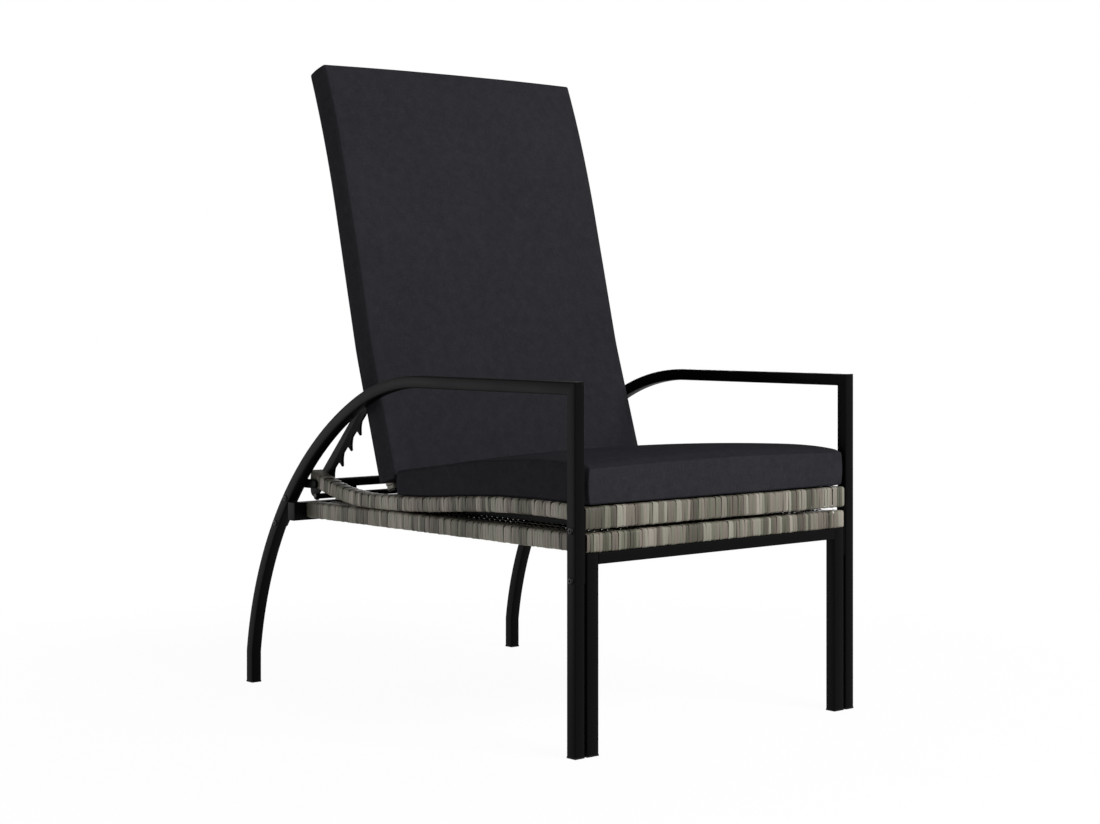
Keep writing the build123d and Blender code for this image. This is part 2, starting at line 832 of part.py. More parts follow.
def upright(x_middle, y_middle, z_from, z_to, width, depth, wall):
    """A square cut tube that stands upright."""
    with BuildPart() as post:
        with BuildSketch(Plane.XY.offset(z_from)):
            with Locations((x_middle, y_middle - overall_depth / 2)):
                Rectangle(width, depth)
                Rectangle(width - 2 * wall, depth - 2 * wall, mode=Mode.SUBTRACT)
        extrude(amount=z_to - z_from)
    return post


SIDES = {"left": -1, "right": 1}

# Pieces that come as a left and a right one
for name, side in SIDES.items():
    save(f"{name}_side_frame", side_frame(side))
    save(f"{name}_seat_rail", seat_rail(side))
    save(f"{name}_seat_wrap", seat_wrap(side))
    save(f"{name}_front_plate", front_plate(side))
    save(f"{name}_rear_plate", rear_plate(side))
    save(f"{name}_hinge_ear", hinge_ear(side))
    save(f"{name}_slide_track", slide_track(side))
    save(f"{name}_back_tube", back_side_tube(side))
    save(f"{name}_back_wrap", back_wrap(side))
    save(f"{name}_toothed_strut", toothed_strut(side))
    save(f"{name}_slide_glide", glide(side))

frame_feet = [(side * (half_width - half_tube), y) for side in (-1, 1) for y in (half_tube, rear_foot_depth)]
save("side_frame_caps", foot_caps(frame_feet, frame_tube, frame_tube, frame_wall))
bolt_stacks = [
    (place, side * half_width, side * (plate_outer - plate_thickness), frame_bolt_diameter, False)
    for side in (-1, 1)
    for place in bolt_places
]
save("frame_bolts", bolt_group(bolt_stacks, hexagon_head=False))

# Seat frame
seat_front_centre = (wrap_thickness + rail_width / 2, front_rail_bottom + front_rail_height / 2)
bar_end = plate_outer - plate_thickness
front_rail = prism(-bar_end, bar_end, seat_front_centre, rail_width, front_rail_height, tube_wall)
save("seat_front_rail", front_rail)
save(
    "seat_front_wrap",
    front_sleeve(
        bar_end - wrap_fit, seat_front_centre, rail_width, front_rail_height, wave_height(front_rail_rear)
    ),
)
cross_half = rail_mid - rail_width / 2
with BuildPart() as cross_tubes:
    for depth in (front_cross_depth, middle_cross_depth):
        with BuildSketch(side_plane(-cross_half)):
            with Locations((depth, cross_bottom + cross_height / 2)):
                Rectangle(cross_depth, cross_height)
                Rectangle(cross_depth - 2 * tube_wall, cross_height - 2 * tube_wall, mode=Mode.SUBTRACT)
        extrude(amount=2 * cross_half)
save("seat_cross_tubes", cross_tubes)
hinge_cross_centre = (hinge_depth, cross_bottom + hinge_cross_height / 2)
hinge_tube = prism(-cross_half, cross_half, hinge_cross_centre, cross_depth, hinge_cross_height, tube_wall)
save("hinge_cross_tube", hinge_tube)
deck_bar_centre = (deck_rear_bar_depth, cross_bottom + deck_rear_bar_height / 2)
save("deck_rear_bar", prism(-cross_half, cross_half, deck_bar_centre, cross_depth, deck_rear_bar_height))
with BuildPart() as ratchet_bar:
    with BuildSketch(side_plane(-bar_end)):
        with Locations(rear_bar):
            Circle(rear_bar_radius)
            Circle(rear_bar_radius - tube_wall, mode=Mode.SUBTRACT)
    extrude(amount=2 * bar_end)
save("ratchet_bar", ratchet_bar)
deck_lift = seat_rail_height / 2 + wrap_thickness - deck_thickness / 2 - seat_fit
deck_half = rail_inner - wrap_fit
deck_start = front_rail_rear + wrap_thickness + wrap_fit
save("seat_deck", sheet_on_wave(deck_half, deck_start, deck_end_depth, deck_lift))
save("seat_cushion", seat_cushion_part())
with BuildPart() as hangers:
    for side in (-1, 1):
        base = Plane.XY.offset(track_bottom + track_height)
        with BuildSketch(base):
            with Locations((side * track_middle, rear_bar[0] - overall_depth / 2)):
                Rectangle(hanger_width, hanger_width)
        extrude(amount=rear_bar[1] - track_bottom - track_height)
    with BuildSketch(side_plane(-half_width)):
        with Locations(rear_bar):
            Circle(rear_bar_radius + wrap_fit)
    extrude(amount=overall_width, mode=Mode.SUBTRACT)
save("track_hangers", hangers)

# Hinge bolts from the inside, strut bolts from the outside, and their washers beside the uprights
inner_face = back_tube_outer - back_tube - bolt_fit
hinge_head = ear_middle - ear_thickness / 2 - bolt_fit
hinge_end = back_tube_outer - bolt_fit
stacks = [(hinge, side * hinge_head, side * hinge_end, pivot_bolt_diameter, False) for side in (-1, 1)]
save("hinge_bolts", bolt_group(stacks, hexagon_head=True))
washer_size = inner_face - ear_middle - ear_thickness / 2 - bolt_fit
save("hinge_washers", washers([hinge], inner_face, washer_size, washer_radius, pivot_radius + bolt_fit))
strut_head = strut_middle + strut_thickness / 2 + bolt_fit
strut_end = back_tube_outer - back_tube - nut_height - bolt_fit
stacks = [(pivot, side * strut_head, side * strut_end, pivot_bolt_diameter, True) for side in (-1, 1)]
save("strut_bolts", bolt_group(stacks, hexagon_head=True))
washer_start = strut_middle - strut_thickness / 2 - bolt_fit
washer_size = washer_start - back_tube_outer - bolt_fit
save("strut_washers", washers([pivot], washer_start, washer_size, washer_radius, pivot_radius + bolt_fit))

# Back rest
slat_half = back_tube_outer - back_tube
low_slat = back_slat(low_slat_distance, slat_half, back_slat_depth, back_slat_height, tube_wall)
save("back_low_slat", low_slat)
middle_slat = back_slat(middle_slat_distance, slat_half, back_slat_depth, back_slat_height, tube_wall)
save("back_middle_slat", middle_slat)
top_up = back_length + back_tube / 2 + top_joint_gap
save("back_top_tube", back_slat(top_up, back_tube_outer, back_tube, back_tube, tube_wall))
with BuildPart() as top_wrap:
    top_y, top_z, top_tilt = back_point(top_up)
    with BuildSketch(side_plane(-back_tube_outer - wrap_thickness)):
        with Locations(Location((top_y, top_z), -degrees(top_tilt))):
            Rectangle(back_tube + 2 * wrap_thickness, back_tube + 2 * wrap_thickness)
            Rectangle(back_tube + 2 * wrap_fit, back_tube + 2 * wrap_fit, mode=Mode.SUBTRACT)
    extrude(amount=2 * (back_tube_outer + wrap_thickness))
    for side in (-1, 1):
        with BuildSketch(side_plane(side * back_tube_middle - back_tube / 2 - wrap_fit)):
            low_y, low_z, low_tilt = back_point(back_length)
            with Locations(Location((low_y, low_z), -degrees(low_tilt))):
                Rectangle(back_tube + 2 * wrap_fit, 2 * wrap_thickness + 2 * wrap_fit)
        extrude(amount=back_tube + 2 * wrap_fit, mode=Mode.SUBTRACT)
save("back_top_wrap", top_wrap)
panel_forward = back_tube / 2 + wrap_thickness - deck_thickness / 2 - seat_fit
panel_half = back_tube_outer - back_tube - wrap_thickness - wrap_fit
save("back_panel", back_sheet(panel_half, back_panel_start_distance, panel_forward))
save("back_cushion", back_cushion_part())

# Tie rod that lifts both struts together, with its end bolts
rod_half = strut_middle - strut_thickness / 2 - bolt_fit
with BuildPart() as rod:
    with BuildSketch(side_plane(-rod_half)):
        with Locations(tie_rod):
            Circle(tie_rod_diameter / 2)
            Circle(rod_bolt_radius + bolt_fit, mode=Mode.SUBTRACT)
    extrude(amount=2 * rod_half)
save("strut_tie_rod", rod)
rod_head = strut_middle + strut_thickness / 2
rod_bolt_end = rod_half - rod_bolt_length
rod_stacks = [(tie_rod, side * rod_head, side * rod_bolt_end, rod_bolt_diameter, False) for side in (-1, 1)]
save("tie_rod_bolts", bolt_group(rod_stacks, hexagon_head=True))

# Footrest
foot_leg_outer = rail_outer
foot_leg_middle = foot_leg_outer - foot_leg_width / 2
foot_leg_top = foot_rail_bottom - wrap_thickness
for name, side in SIDES.items():
    leg = upright(
        side * foot_leg_middle,
        half_tube,
        cap_flange,
        foot_leg_top,
        foot_leg_width,
        frame_tube,
        frame_wall,
    )
    save(f"{name}_footrest_leg", leg)
    z_middle = foot_rail_bottom + foot_rail_height / 2
    stop_front = foot_stop_centre - foot_stop_depth / 2
    rail = box_along(
        side * rail_mid,
        front_rail_rear + wrap_fit,
        stop_front,
        z_middle,
        rail_width,
        foot_rail_height,
        tube_wall,
    )
    save(f"{name}_footrest_rail", rail)
    with BuildPart() as sleeve:
        wide = rail_width + 2 * wrap_thickness
        high = foot_rail_height + 2 * wrap_thickness
        start_y = front_rail_rear + wrap_thickness + wrap_fit
        start = Plane(
            origin=(side * rail_mid, start_y - overall_depth / 2, z_middle), x_dir=(1, 0, 0), z_dir=(0, -1, 0)
        )
        with BuildSketch(start):
            Rectangle(wide, high)
            Rectangle(rail_width + 2 * wrap_fit, foot_rail_height + 2 * wrap_fit, mode=Mode.SUBTRACT)
        extrude(amount=start_y - stop_front + wrap_fit)
        with BuildSketch(side_plane(side * rail_mid)):
            for depth in foot_cross_depths:
                with Locations((depth, foot_cross_middle)):
                    Rectangle(cross_depth + 2 * wrap_fit, foot_cross_height + 2 * wrap_fit)
        extrude(amount=-side * wide, mode=Mode.SUBTRACT)
    save(f"{name}_footrest_wrap", sleeve)
leg_feet = [(side * foot_leg_middle, half_tube) for side in (-1, 1)]
save("footrest_leg_caps", foot_caps(leg_feet, foot_leg_width, frame_tube, frame_wall))
inner_leg = foot_leg_outer - foot_leg_width
bar_centre = (half_tube, foot_leg_top - foot_bar_height / 2)
save("footrest_front_bar", prism(-inner_leg, inner_leg, bar_centre, frame_tube, foot_bar_height, frame_wall))
foot_front_centre = (wrap_thickness + rail_width / 2, foot_rail_bottom + foot_rail_height / 2)
front_half = rail_outer - wrap_thickness
foot_front = prism(-front_half, front_half, foot_front_centre, rail_width, foot_rail_height, tube_wall)
save("footrest_front_rail", foot_front)
save(
    "footrest_front_wrap",
    front_sleeve(rail_outer, foot_front_centre, rail_width, foot_rail_height, foot_front_centre[1]),
)
with BuildPart() as foot_cross:
    for depth in foot_cross_depths:
        with BuildSketch(side_plane(-cross_half)):
            with Locations((depth, foot_cross_middle)):
                Rectangle(cross_depth, foot_cross_height)
                Rectangle(cross_depth - 2 * tube_wall, foot_cross_height - 2 * tube_wall, mode=Mode.SUBTRACT)
        extrude(amount=2 * cross_half)
save("footrest_cross_tubes", foot_cross)
with BuildPart() as foot_deck:
    deck_rear = foot_stop_centre - foot_stop_depth / 2 - wrap_fit
    with BuildSketch(Plane.XY.offset(foot_deck_top - deck_thickness)):
        with Locations((0, (deck_start + deck_rear) / 2 - overall_depth / 2)):
            Rectangle(2 * deck_half, deck_rear - deck_start)
    extrude(amount=deck_thickness)
save("footrest_deck", foot_deck)
stop_centre = (foot_stop_centre, foot_stop_top - foot_stop_height / 2)
stop_half = half_width - stop_cap
stop_bar = prism(-stop_half, stop_half, stop_centre, foot_stop_depth, foot_stop_height, tube_wall)
save("footrest_stop_bar", stop_bar)
with BuildPart() as stop_caps:
    for side in (-1, 1):
        with BuildSketch(side_plane(side * stop_half)):
            with Locations(stop_centre):
                Rectangle(foot_stop_depth, foot_stop_height)
        extrude(amount=side * stop_cap)
        with BuildSketch(side_plane(side * stop_half)):
            with Locations(stop_centre):
                inset = 2 * tube_wall + 2 * seat_fit
                Rectangle(foot_stop_depth - inset, foot_stop_height - inset)
        extrude(amount=-side * cap_plug_length)
save("stop_bar_caps", stop_caps)
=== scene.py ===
"""Chaise lounge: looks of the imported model. Metres, in the frame of the solids."""
import random
from contextlib import contextmanager
from math import asin, atan, ceil, cos, pi, radians, sin, sqrt

import bmesh
import bpy
import numpy as np
from mathutils import Matrix, Vector


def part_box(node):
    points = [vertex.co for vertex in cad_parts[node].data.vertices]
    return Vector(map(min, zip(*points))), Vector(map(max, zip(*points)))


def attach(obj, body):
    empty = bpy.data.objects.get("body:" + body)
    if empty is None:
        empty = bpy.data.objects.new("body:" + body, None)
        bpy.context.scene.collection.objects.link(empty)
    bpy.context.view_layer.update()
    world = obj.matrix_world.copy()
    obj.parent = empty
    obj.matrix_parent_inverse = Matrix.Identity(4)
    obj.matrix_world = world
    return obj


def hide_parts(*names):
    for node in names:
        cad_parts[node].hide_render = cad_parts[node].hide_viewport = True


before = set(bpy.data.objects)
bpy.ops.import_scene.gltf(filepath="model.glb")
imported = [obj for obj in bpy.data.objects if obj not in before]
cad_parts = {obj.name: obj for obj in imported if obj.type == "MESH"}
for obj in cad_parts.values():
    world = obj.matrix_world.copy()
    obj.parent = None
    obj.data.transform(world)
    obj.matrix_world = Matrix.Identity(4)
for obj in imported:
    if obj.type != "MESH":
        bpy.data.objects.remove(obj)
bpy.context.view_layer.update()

scene = bpy.context.scene
SIDES = {"left": -1, "right": 1}

# Places that the solids give
front_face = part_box("left_side_frame")[0].y
half_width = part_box("right_side_frame")[1].x
arm_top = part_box("left_side_frame")[1].z


def row(depth):
    """Place along Y of a distance behind the front face."""
    return front_face + depth


# Camera at the photograph's viewing angle
camera_data = bpy.data.cameras.new("view")
camera_data.lens = 69.52
camera_data.sensor_width = 36
camera_data.shift_y = -0.0930
camera = bpy.data.objects.new("view", camera_data)
camera.location = (-2.4655, -2.8539, 0.6829)
camera.rotation_euler = (pi / 2, 0, -radians(41.11))
scene.collection.objects.link(camera)
scene.camera = camera


# Materials
class Value:
    """A number that varies over a surface. Sums on it add their maths nodes."""

    def __init__(self, finish, socket):
        self.finish = finish
        self.socket = socket

    def sum(self, operation, *numbers):
        links = dict(enumerate(numbers))
        return self.finish.node("ShaderNodeMath", {"operation": operation}, links)

    def __add__(self, other):
        return self.sum("ADD", self, other)

    def __radd__(self, other):
        return self.sum("ADD", other, self)

    def __sub__(self, other):
        return self.sum("SUBTRACT", self, other)

    def __rsub__(self, other):
        return self.sum("SUBTRACT", other, self)

    def __mul__(self, other):
        return self.sum("MULTIPLY", self, other)

    def __rmul__(self, other):
        return self.sum("MULTIPLY", other, self)

    def __pow__(self, other):
        return self.sum("POWER", self, other)

    def __gt__(self, other):
        return self.sum("GREATER_THAN", self, other)

    def size(self):
        return self.sum("ABSOLUTE", self)

    def wave(self):
        return self.sum("SINE", self)

    def ramp(self, low, high):
        """0 below low, 1 above high and a smooth rise between."""
        return self.finish.node(
            "ShaderNodeMapRange",
            {"interpolation_type": "SMOOTHSTEP"},
            {"Value": self, "From Min": low, "From Max": high},
        )


class Finish:
    """One surface finish, with its principled shader."""

    def __init__(self, name, **fixed):
        self.material = bpy.data.materials.new(name)
        self.material.use_nodes = True
        self.tree = self.material.node_tree
        self.shader = self.tree.nodes["Principled BSDF"]
        for socket, value in fixed.items():
            self.shader.inputs[socket.replace("_", " ")].default_value = value

    def node(self, kind, settings=None, links=None, out=0):
        """Add one node: its settings first, then the values or links of its sockets."""
        made = self.tree.nodes.new(kind)
        for name, value in (settings or {}).items():
            if name == "stops":
                while len(made.color_ramp.elements) < len(value):
                    made.color_ramp.elements.new(1)
                for element, (place, colour) in zip(made.color_ramp.elements, value):
                    element.position = place
                    element.color = (*colour, 1)
            else:
                setattr(made, name, value)
        for name, value in (links or {}).items():
            if isinstance(value, Value):
                self.tree.links.new(value.socket, made.inputs[name])
            else:
                made.inputs[name].default_value = value
        return Value(self, made.outputs[out])

    def place(self):
        return self.node("ShaderNodeTexCoord", out="Object")

    def parts(self, vector):
        """The three parts of a vector."""
        made = self.node("ShaderNodeSeparateXYZ", links={0: vector}).socket.node
        return [Value(self, socket) for socket in made.outputs]

    def vector(self, x, y, z):
        return self.node("ShaderNodeCombineXYZ", links={0: x, 1: y, 2: z})

    def stretched(self, vector, x, y, z):
        links = {0: vector, 1: (x, y, z)}
        return self.node("ShaderNodeVectorMath", {"operation": "MULTIPLY"}, links)

    def noise(self, vector, scale, detail=2, roughness=0.5):
        return self.node(
            "ShaderNodeTexNoise",
            links={"Vector": vector, "Scale": scale, "Detail": detail, "Roughness": roughness},
        )

    def attribute(self, name):
        return self.node("ShaderNodeAttribute", {"attribute_name": name}, out="Fac")

    def colours(self, value, *stops):
        return self.node("ShaderNodeValToRGB", {"stops": stops}, {0: value}, out="Color")

    def mix(self, share, low, high, blend="MIX"):
        return self.node(
            "ShaderNodeMix",
            {"data_type": "RGBA", "blend_type": blend},
            {0: share, 6: low, 7: high},
            out=2,
        )

    def feed(self, socket, value):
        self.tree.links.new(value.socket, self.shader.inputs[socket])

    def bump(self, height, strength, distance):
        made = self.node(
            "ShaderNodeBump", links={"Height": height, "Strength": strength, "Distance": distance}
        )
        self.feed("Normal", made)


def coated_tube():
    """Satin black powder coat with a fine orange peel."""
    coat = Finish("satin_black_coat", Specular_IOR_Level=0.03)
    place = coat.place()
    peel = coat.noise(place, scale=620)
    broad = coat.noise(place, scale=9, detail=3, roughness=0.6)
    drawn = coat.stretched(place, 1, 1, 0.35)
    scuff = coat.noise(drawn, scale=160, detail=4, roughness=0.7).ramp(0.66, 0.78)
    deep = (0.0020, 0.0020, 0.0021, 1)
    pale = (0.0032, 0.0031, 0.0033, 1)
    coat.feed("Base Color", coat.mix(broad, deep, pale))
    coat.feed("Roughness", 0.38 + 0.1 * broad + 0.08 * scuff)
    coat.bump(peel, strength=0.16, distance=0.0004)
    return coat.material


def plastic(name, colour, grain_scale, rough, gloss):
    """Moulded plastic with a fine spark grain."""
    skin = Finish(name, Specular_IOR_Level=gloss)
    place = skin.place()
    grain = skin.noise(place, grain_scale, detail=3, roughness=0.6)
    broad = skin.noise(place, scale=30)
    bright = tuple(1.35 * part for part in colour)
    skin.feed("Base Color", skin.mix(broad, (*colour, 1), (*bright, 1)))
    skin.feed("Roughness", rough + 0.12 * grain)
    skin.bump(grain, strength=0.25, distance=0.0003)
    return skin.material


def blackened_steel():
    """Blackened fixings with a fine grain and slight wear."""
    steel = Finish("blackened_fixings", Metallic=0.6, Specular_IOR_Level=0.2)
    place = steel.place()
    fine = steel.noise(place, scale=900, detail=3, roughness=0.6)
    worn = steel.noise(place, scale=210, detail=4, roughness=0.65).ramp(0.55, 0.75)
    dark = (0.010, 0.010, 0.0105, 1)
    bare = (0.034, 0.033, 0.032, 1)
    steel.feed("Base Color", steel.mix(worn, dark, bare))
    steel.feed("Roughness", 0.34 + 0.18 * fine)
    steel.bump(fine, strength=0.2, distance=0.0002)
    return steel.material


def wicker():
    """Half round plastic strands in taupe, grey and olive shades, with fine lines along them and
    painted shade darkening their edges.
    """
    strand = Finish("woven_strand_mixed", Specular_IOR_Level=0.28)
    place = strand.place()
    shade = strand.attribute("shade")
    across = strand.attribute("across")
    x, y, z = strand.parts(place)
    run = strand.vector(across * 3.2, shade * 93 + 14 * (y + z), x * 14)
    lines = strand.noise(run, scale=1.6, detail=3, roughness=0.65)
    fleck = strand.noise(place, scale=150, detail=3, roughness=0.6)
    tint = ((shade * 61).wave() * 0.5 + 0.5).ramp(0.25, 0.75)
    pinkish = strand.colours(
        shade,
        (0.0, (0.042, 0.035, 0.027)),
        (0.3, (0.090, 0.077, 0.062)),
        (0.6, (0.156, 0.137, 0.114)),
        (1.0, (0.280, 0.253, 0.216)),
    )
    olive = strand.colours(
        shade,
        (0.0, (0.036, 0.036, 0.024)),
        (0.3, (0.077, 0.076, 0.054)),
        (0.6, (0.139, 0.136, 0.104)),
        (1.0, (0.258, 0.250, 0.205)),
    )
    base = strand.mix(tint, pinkish, olive)
    # Painted shade: each strand is darkened by up to 14 percent towards its edges, standing in for
    # the shade in the grooves between neighbouring strands.
    edge = across.size().ramp(0.78, 1.0)
    tone = 0.78 + 0.44 * lines + 0.15 * fleck
    dark = 1 - 0.14 * edge
    # Grain lines and flecks, multiplied by the painted edge shade.
    lines_and_edge_shade = tone * dark
    grey = strand.vector(lines_and_edge_shade, lines_and_edge_shade, lines_and_edge_shade)
    strand.feed("Base Color", strand.mix(1.0, base, grey, "MULTIPLY"))
    strand.feed("Roughness", 0.46 + 0.2 * lines)
    strand.bump(lines, strength=0.5, distance=0.0006)
    return strand.material


def cushion_cloth():
    """Dark grey outdoor cloth: plain weave, mottled threads and short dark flecks across."""
    cloth = Finish("cushion_cloth_dark", Specular_IOR_Level=0.0)
    place = cloth.place()
    x, y, z = cloth.parts(place)
    normal = cloth.node("ShaderNodeNewGeometry", out="Normal")
    side = cloth.parts(normal)[0].size() > 0.72
    on_side = cloth.node("ShaderNodeMix", {"data_type": "FLOAT"}, {0: side, 2: x, 3: y})
    up = cloth.node("ShaderNodeMix", {"data_type": "FLOAT"}, {0: side, 2: y + z, 3: z})
    thread_pitch = 0.0016
    thread = 2 * pi / thread_pitch
    weave = (on_side * thread).wave() * (up * thread).wave()
    flat = cloth.vector(on_side * 80, up * 380, 0.0)
    steep = cloth.vector(on_side * 620, up * 75, 3.0)
    across_flecks = cloth.noise(flat, scale=1, detail=3, roughness=0.6)
    along_flecks = cloth.noise(steep, scale=1, detail=3, roughness=0.6)
    cloud = cloth.noise(place, scale=55, detail=4, roughness=0.6)
    wide = cloth.noise(place, scale=7)
    dark_fleck = across_flecks.ramp(0.64, 0.72)
    light_thread = along_flecks.ramp(0.56, 0.76)
    seam = cloth.attribute("seam")
    level = 0.30 * cloud + 0.30 * across_flecks + 0.2 * along_flecks + 0.12 * wide + 0.05 * weave
    base = cloth.colours(
        level,
        (0.22, (0.0150, 0.0148, 0.0172)),
        (0.42, (0.0215, 0.0211, 0.0248)),
        (0.62, (0.0290, 0.0285, 0.0333)),
    )
    worn = cloth.mix(light_thread * 0.28, base, (0.052, 0.052, 0.058, 1))
    flecked = cloth.mix(dark_fleck * 0.6, worn, (0.0085, 0.0085, 0.01, 1))
    stitched = cloth.mix(seam * 0.45, flecked, (0.007, 0.007, 0.0085, 1))
    cloth.feed("Base Color", stitched)
    cloth.feed("Roughness", 0.78 + 0.16 * cloud)
    relief = 0.5 * weave + 0.7 * across_flecks + 0.5 * along_flecks - 1.2 * seam
    cloth.bump(relief, strength=0.5, distance=0.00045)
    return cloth.material


coat = coated_tube()
strand_finish = wicker()
cloth_finish = cushion_cloth()
cap_finish = plastic(
    "foot_cap_black", (0.004, 0.004, 0.0043), grain_scale=420, rough=0.5, gloss=0.06
)
nylon_finish = plastic(
    "glide_nylon_grey", (0.16, 0.16, 0.155), grain_scale=260, rough=0.42, gloss=0.4
)
fixing_finish = blackened_steel()


# Modelling helpers
def only(piece):
    """Select one piece and nothing else."""
    bpy.ops.object.select_all(action="DESELECT")
    piece.select_set(True)
    bpy.context.view_layer.objects.active = piece


@contextmanager
def editing(piece):
    """Edit mode on one piece, with everything in it selected."""
    only(piece)
    bpy.ops.object.mode_set(mode="EDIT")
    bpy.ops.mesh.select_all(action="SELECT")
    yield
    bpy.ops.object.mode_set(mode="OBJECT")


def pick(piece, kind, wanted):
    """Select the edges or faces that a test picks."""
    bpy.ops.mesh.select_mode(type=kind)
    bpy.ops.mesh.select_all(action="DESELECT")
    mesh = bmesh.from_edit_mesh(piece.data)
    for part in mesh.edges if kind == "EDGE" else mesh.faces:
        part.select_set(bool(wanted(part)))
    mesh.select_flush_mode()
    bmesh.update_edit_mesh(piece.data)


def named(name):
    """The active object, with a name for it and its mesh."""
    piece = bpy.context.object
    piece.name = name
    piece.data.name = name
    return piece


def settle(piece):
    """Apply a piece's place, turn and size, so that it stands unturned at the origin."""
    only(piece)
    bpy.ops.object.transform_apply(location=True, rotation=True, scale=True)


def duplicate(source):
    """A copy with a mesh of its own."""
    copy = source.copy()
    copy.data = source.data.copy()
    scene.collection.objects.link(copy)
    return copy


def drop(piece):
    bpy.data.objects.remove(piece, do_unlink=True)


def join(pieces, name):
    """Join pieces into the first of them."""
    bpy.ops.object.select_all(action="DESELECT")
    for piece in pieces:
        piece.select_set(True)
    bpy.context.view_layer.objects.active = pieces[0]
    bpy.ops.object.join()
    return named(name)


def mark(piece, name, values):
    """Write one number for each vertex."""
    layer = piece.data.attributes.new(name, "FLOAT", "POINT")
    layer.data.foreach_set("value", np.asarray(values, dtype=np.float32))


def points(piece):
    """The places of a piece's vertices."""
    flat = np.empty(len(piece.data.vertices) * 3, dtype=np.float32)
    piece.data.vertices.foreach_get("co", flat)
    return flat.reshape(-1, 3)


def put_points(piece, places):
    piece.data.vertices.foreach_set("co", np.asarray(places, dtype=np.float32).ravel())
    piece.data.update()


def vertex_normals(piece):
    flat = np.empty(len(piece.data.vertices) * 3, dtype=np.float32)
    piece.data.vertex_normals.foreach_get("vector", flat)
    return flat.reshape(-1, 3)


merge_distance = 0.00001


def close_up(piece, angle=35):
    """Merge doubles, point faces outwards and smooth the shallow edges."""
    with editing(piece):
        bpy.ops.mesh.remove_doubles(threshold=merge_distance)
        bpy.ops.mesh.normals_make_consistent(inside=False)
    settle(piece)
    bpy.ops.object.shade_smooth_by_angle(angle=radians(angle))


def apply(piece, kind, **settings):
    """Add one modifier, set it and apply it."""
    only(piece)
    modifier = piece.modifiers.new(kind.lower(), kind)
    for name, value in settings.items():
        setattr(modifier, name, value)
    bpy.ops.object.modifier_apply(modifier=modifier.name)


def dress(piece, finish, body, slot, *nodes):
    """Give a new piece its finish, its body and the nodes that it stands for."""
    piece.data.materials.clear()
    piece.data.materials.append(finish)
    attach(piece, body)
    if nodes:
        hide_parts(*nodes)
    return piece


def repaint(finish, *nodes):
    """Give CAD nodes that stay a better material."""
    for node in nodes:
        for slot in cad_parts[node].material_slots:
            slot.material = finish


def start_tube(name, place, across, deep, corner):
    """A rounded square section, the start of a tube."""
    bpy.ops.mesh.primitive_plane_add(size=1, location=place)
    piece = named(name)
    piece.scale = (across, deep, 1)
    settle(piece)
    with editing(piece):
        bpy.ops.mesh.bevel(offset=corner, segments=3, affect="VERTICES")
    return piece


def run(by):
    """Draw out what is selected by a vector."""
    bpy.ops.mesh.extrude_region_move(TRANSFORM_OT_translate={"value": by})


def turn(centre, angle, step):
    """Bend the tube round an axis across the object. A positive angle turns up to back to down."""
    steps = ceil(abs(angle) / step)
    bpy.ops.mesh.spin(steps=steps, angle=angle, center=centre, axis=(1, 0, 0))


def chosen(piece):
    """The vertices that are selected in edit mode."""
    return [v for v in bmesh.from_edit_mesh(piece.data).verts if v.select]


mostly = 0.9


def runs_along(edge, axis):
    """Whether an edge runs along an axis."""
    return abs((edge.verts[0].co - edge.verts[1].co).normalized()[axis]) > mostly


def rounded_bar(name, node, long_axis, corner):
    """A straight square tube with rounded edges, on the box of its node."""
    low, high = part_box(node)
    bpy.ops.mesh.primitive_cube_add(size=1, location=(low + high) / 2)
    piece = named(name)
    piece.scale = high - low
    settle(piece)
    with editing(piece):
        pick(piece, "EDGE", lambda e: runs_along(e, long_axis))
        bpy.ops.mesh.bevel(offset=corner, segments=3, affect="EDGES")
        pick(piece, "FACE", lambda f: abs(f.normal[long_axis]) > mostly)
        bpy.ops.mesh.inset(thickness=corner * 0.7)
    close_up(piece)
    return piece


soft_angle = radians(32)


def softened(name, node, width):
    """A solid's own shape with its sharp edges rounded."""
    piece = duplicate(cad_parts[node])
    piece.name = name
    piece.data.name = name
    piece.parent = None
    for key in [key for key in piece.keys() if key.startswith("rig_")]:
        del piece[key]
    piece.matrix_world = Matrix.Identity(4)
    with editing(piece):
        bpy.ops.mesh.remove_doubles(threshold=merge_distance)
        bpy.ops.mesh.dissolve_limited(angle_limit=radians(1))
    apply(
        piece,
        "BEVEL",
        width=width,
        segments=2,
        limit_method="ANGLE",
        angle_limit=soft_angle,
        miter_outer="MITER_ARC",
    )
    only(piece)
    bpy.ops.object.shade_smooth_by_angle(angle=soft_angle)
    return piece


# Side frames
tube = 0.020
tube_corner = 0.0022
flange = 0.003
shoulder_start = 0.3958
shoulder_radius = 0.3804
shoulder_turn = radians(26.8)
arch_radius = 0.6089
foot_length = 0.057
arm_middle = arm_top - tube / 2
arch_depth = shoulder_start + (shoulder_radius - arch_radius) * sin(shoulder_turn)
arch_height = arm_middle - shoulder_radius + (shoulder_radius - arch_radius) * cos(shoulder_turn)
arch_turn = pi / 2 - shoulder_turn - asin((foot_length - arch_height) / arch_radius)
shoulder_step = radians(2.2)
arch_step = radians(1.6)


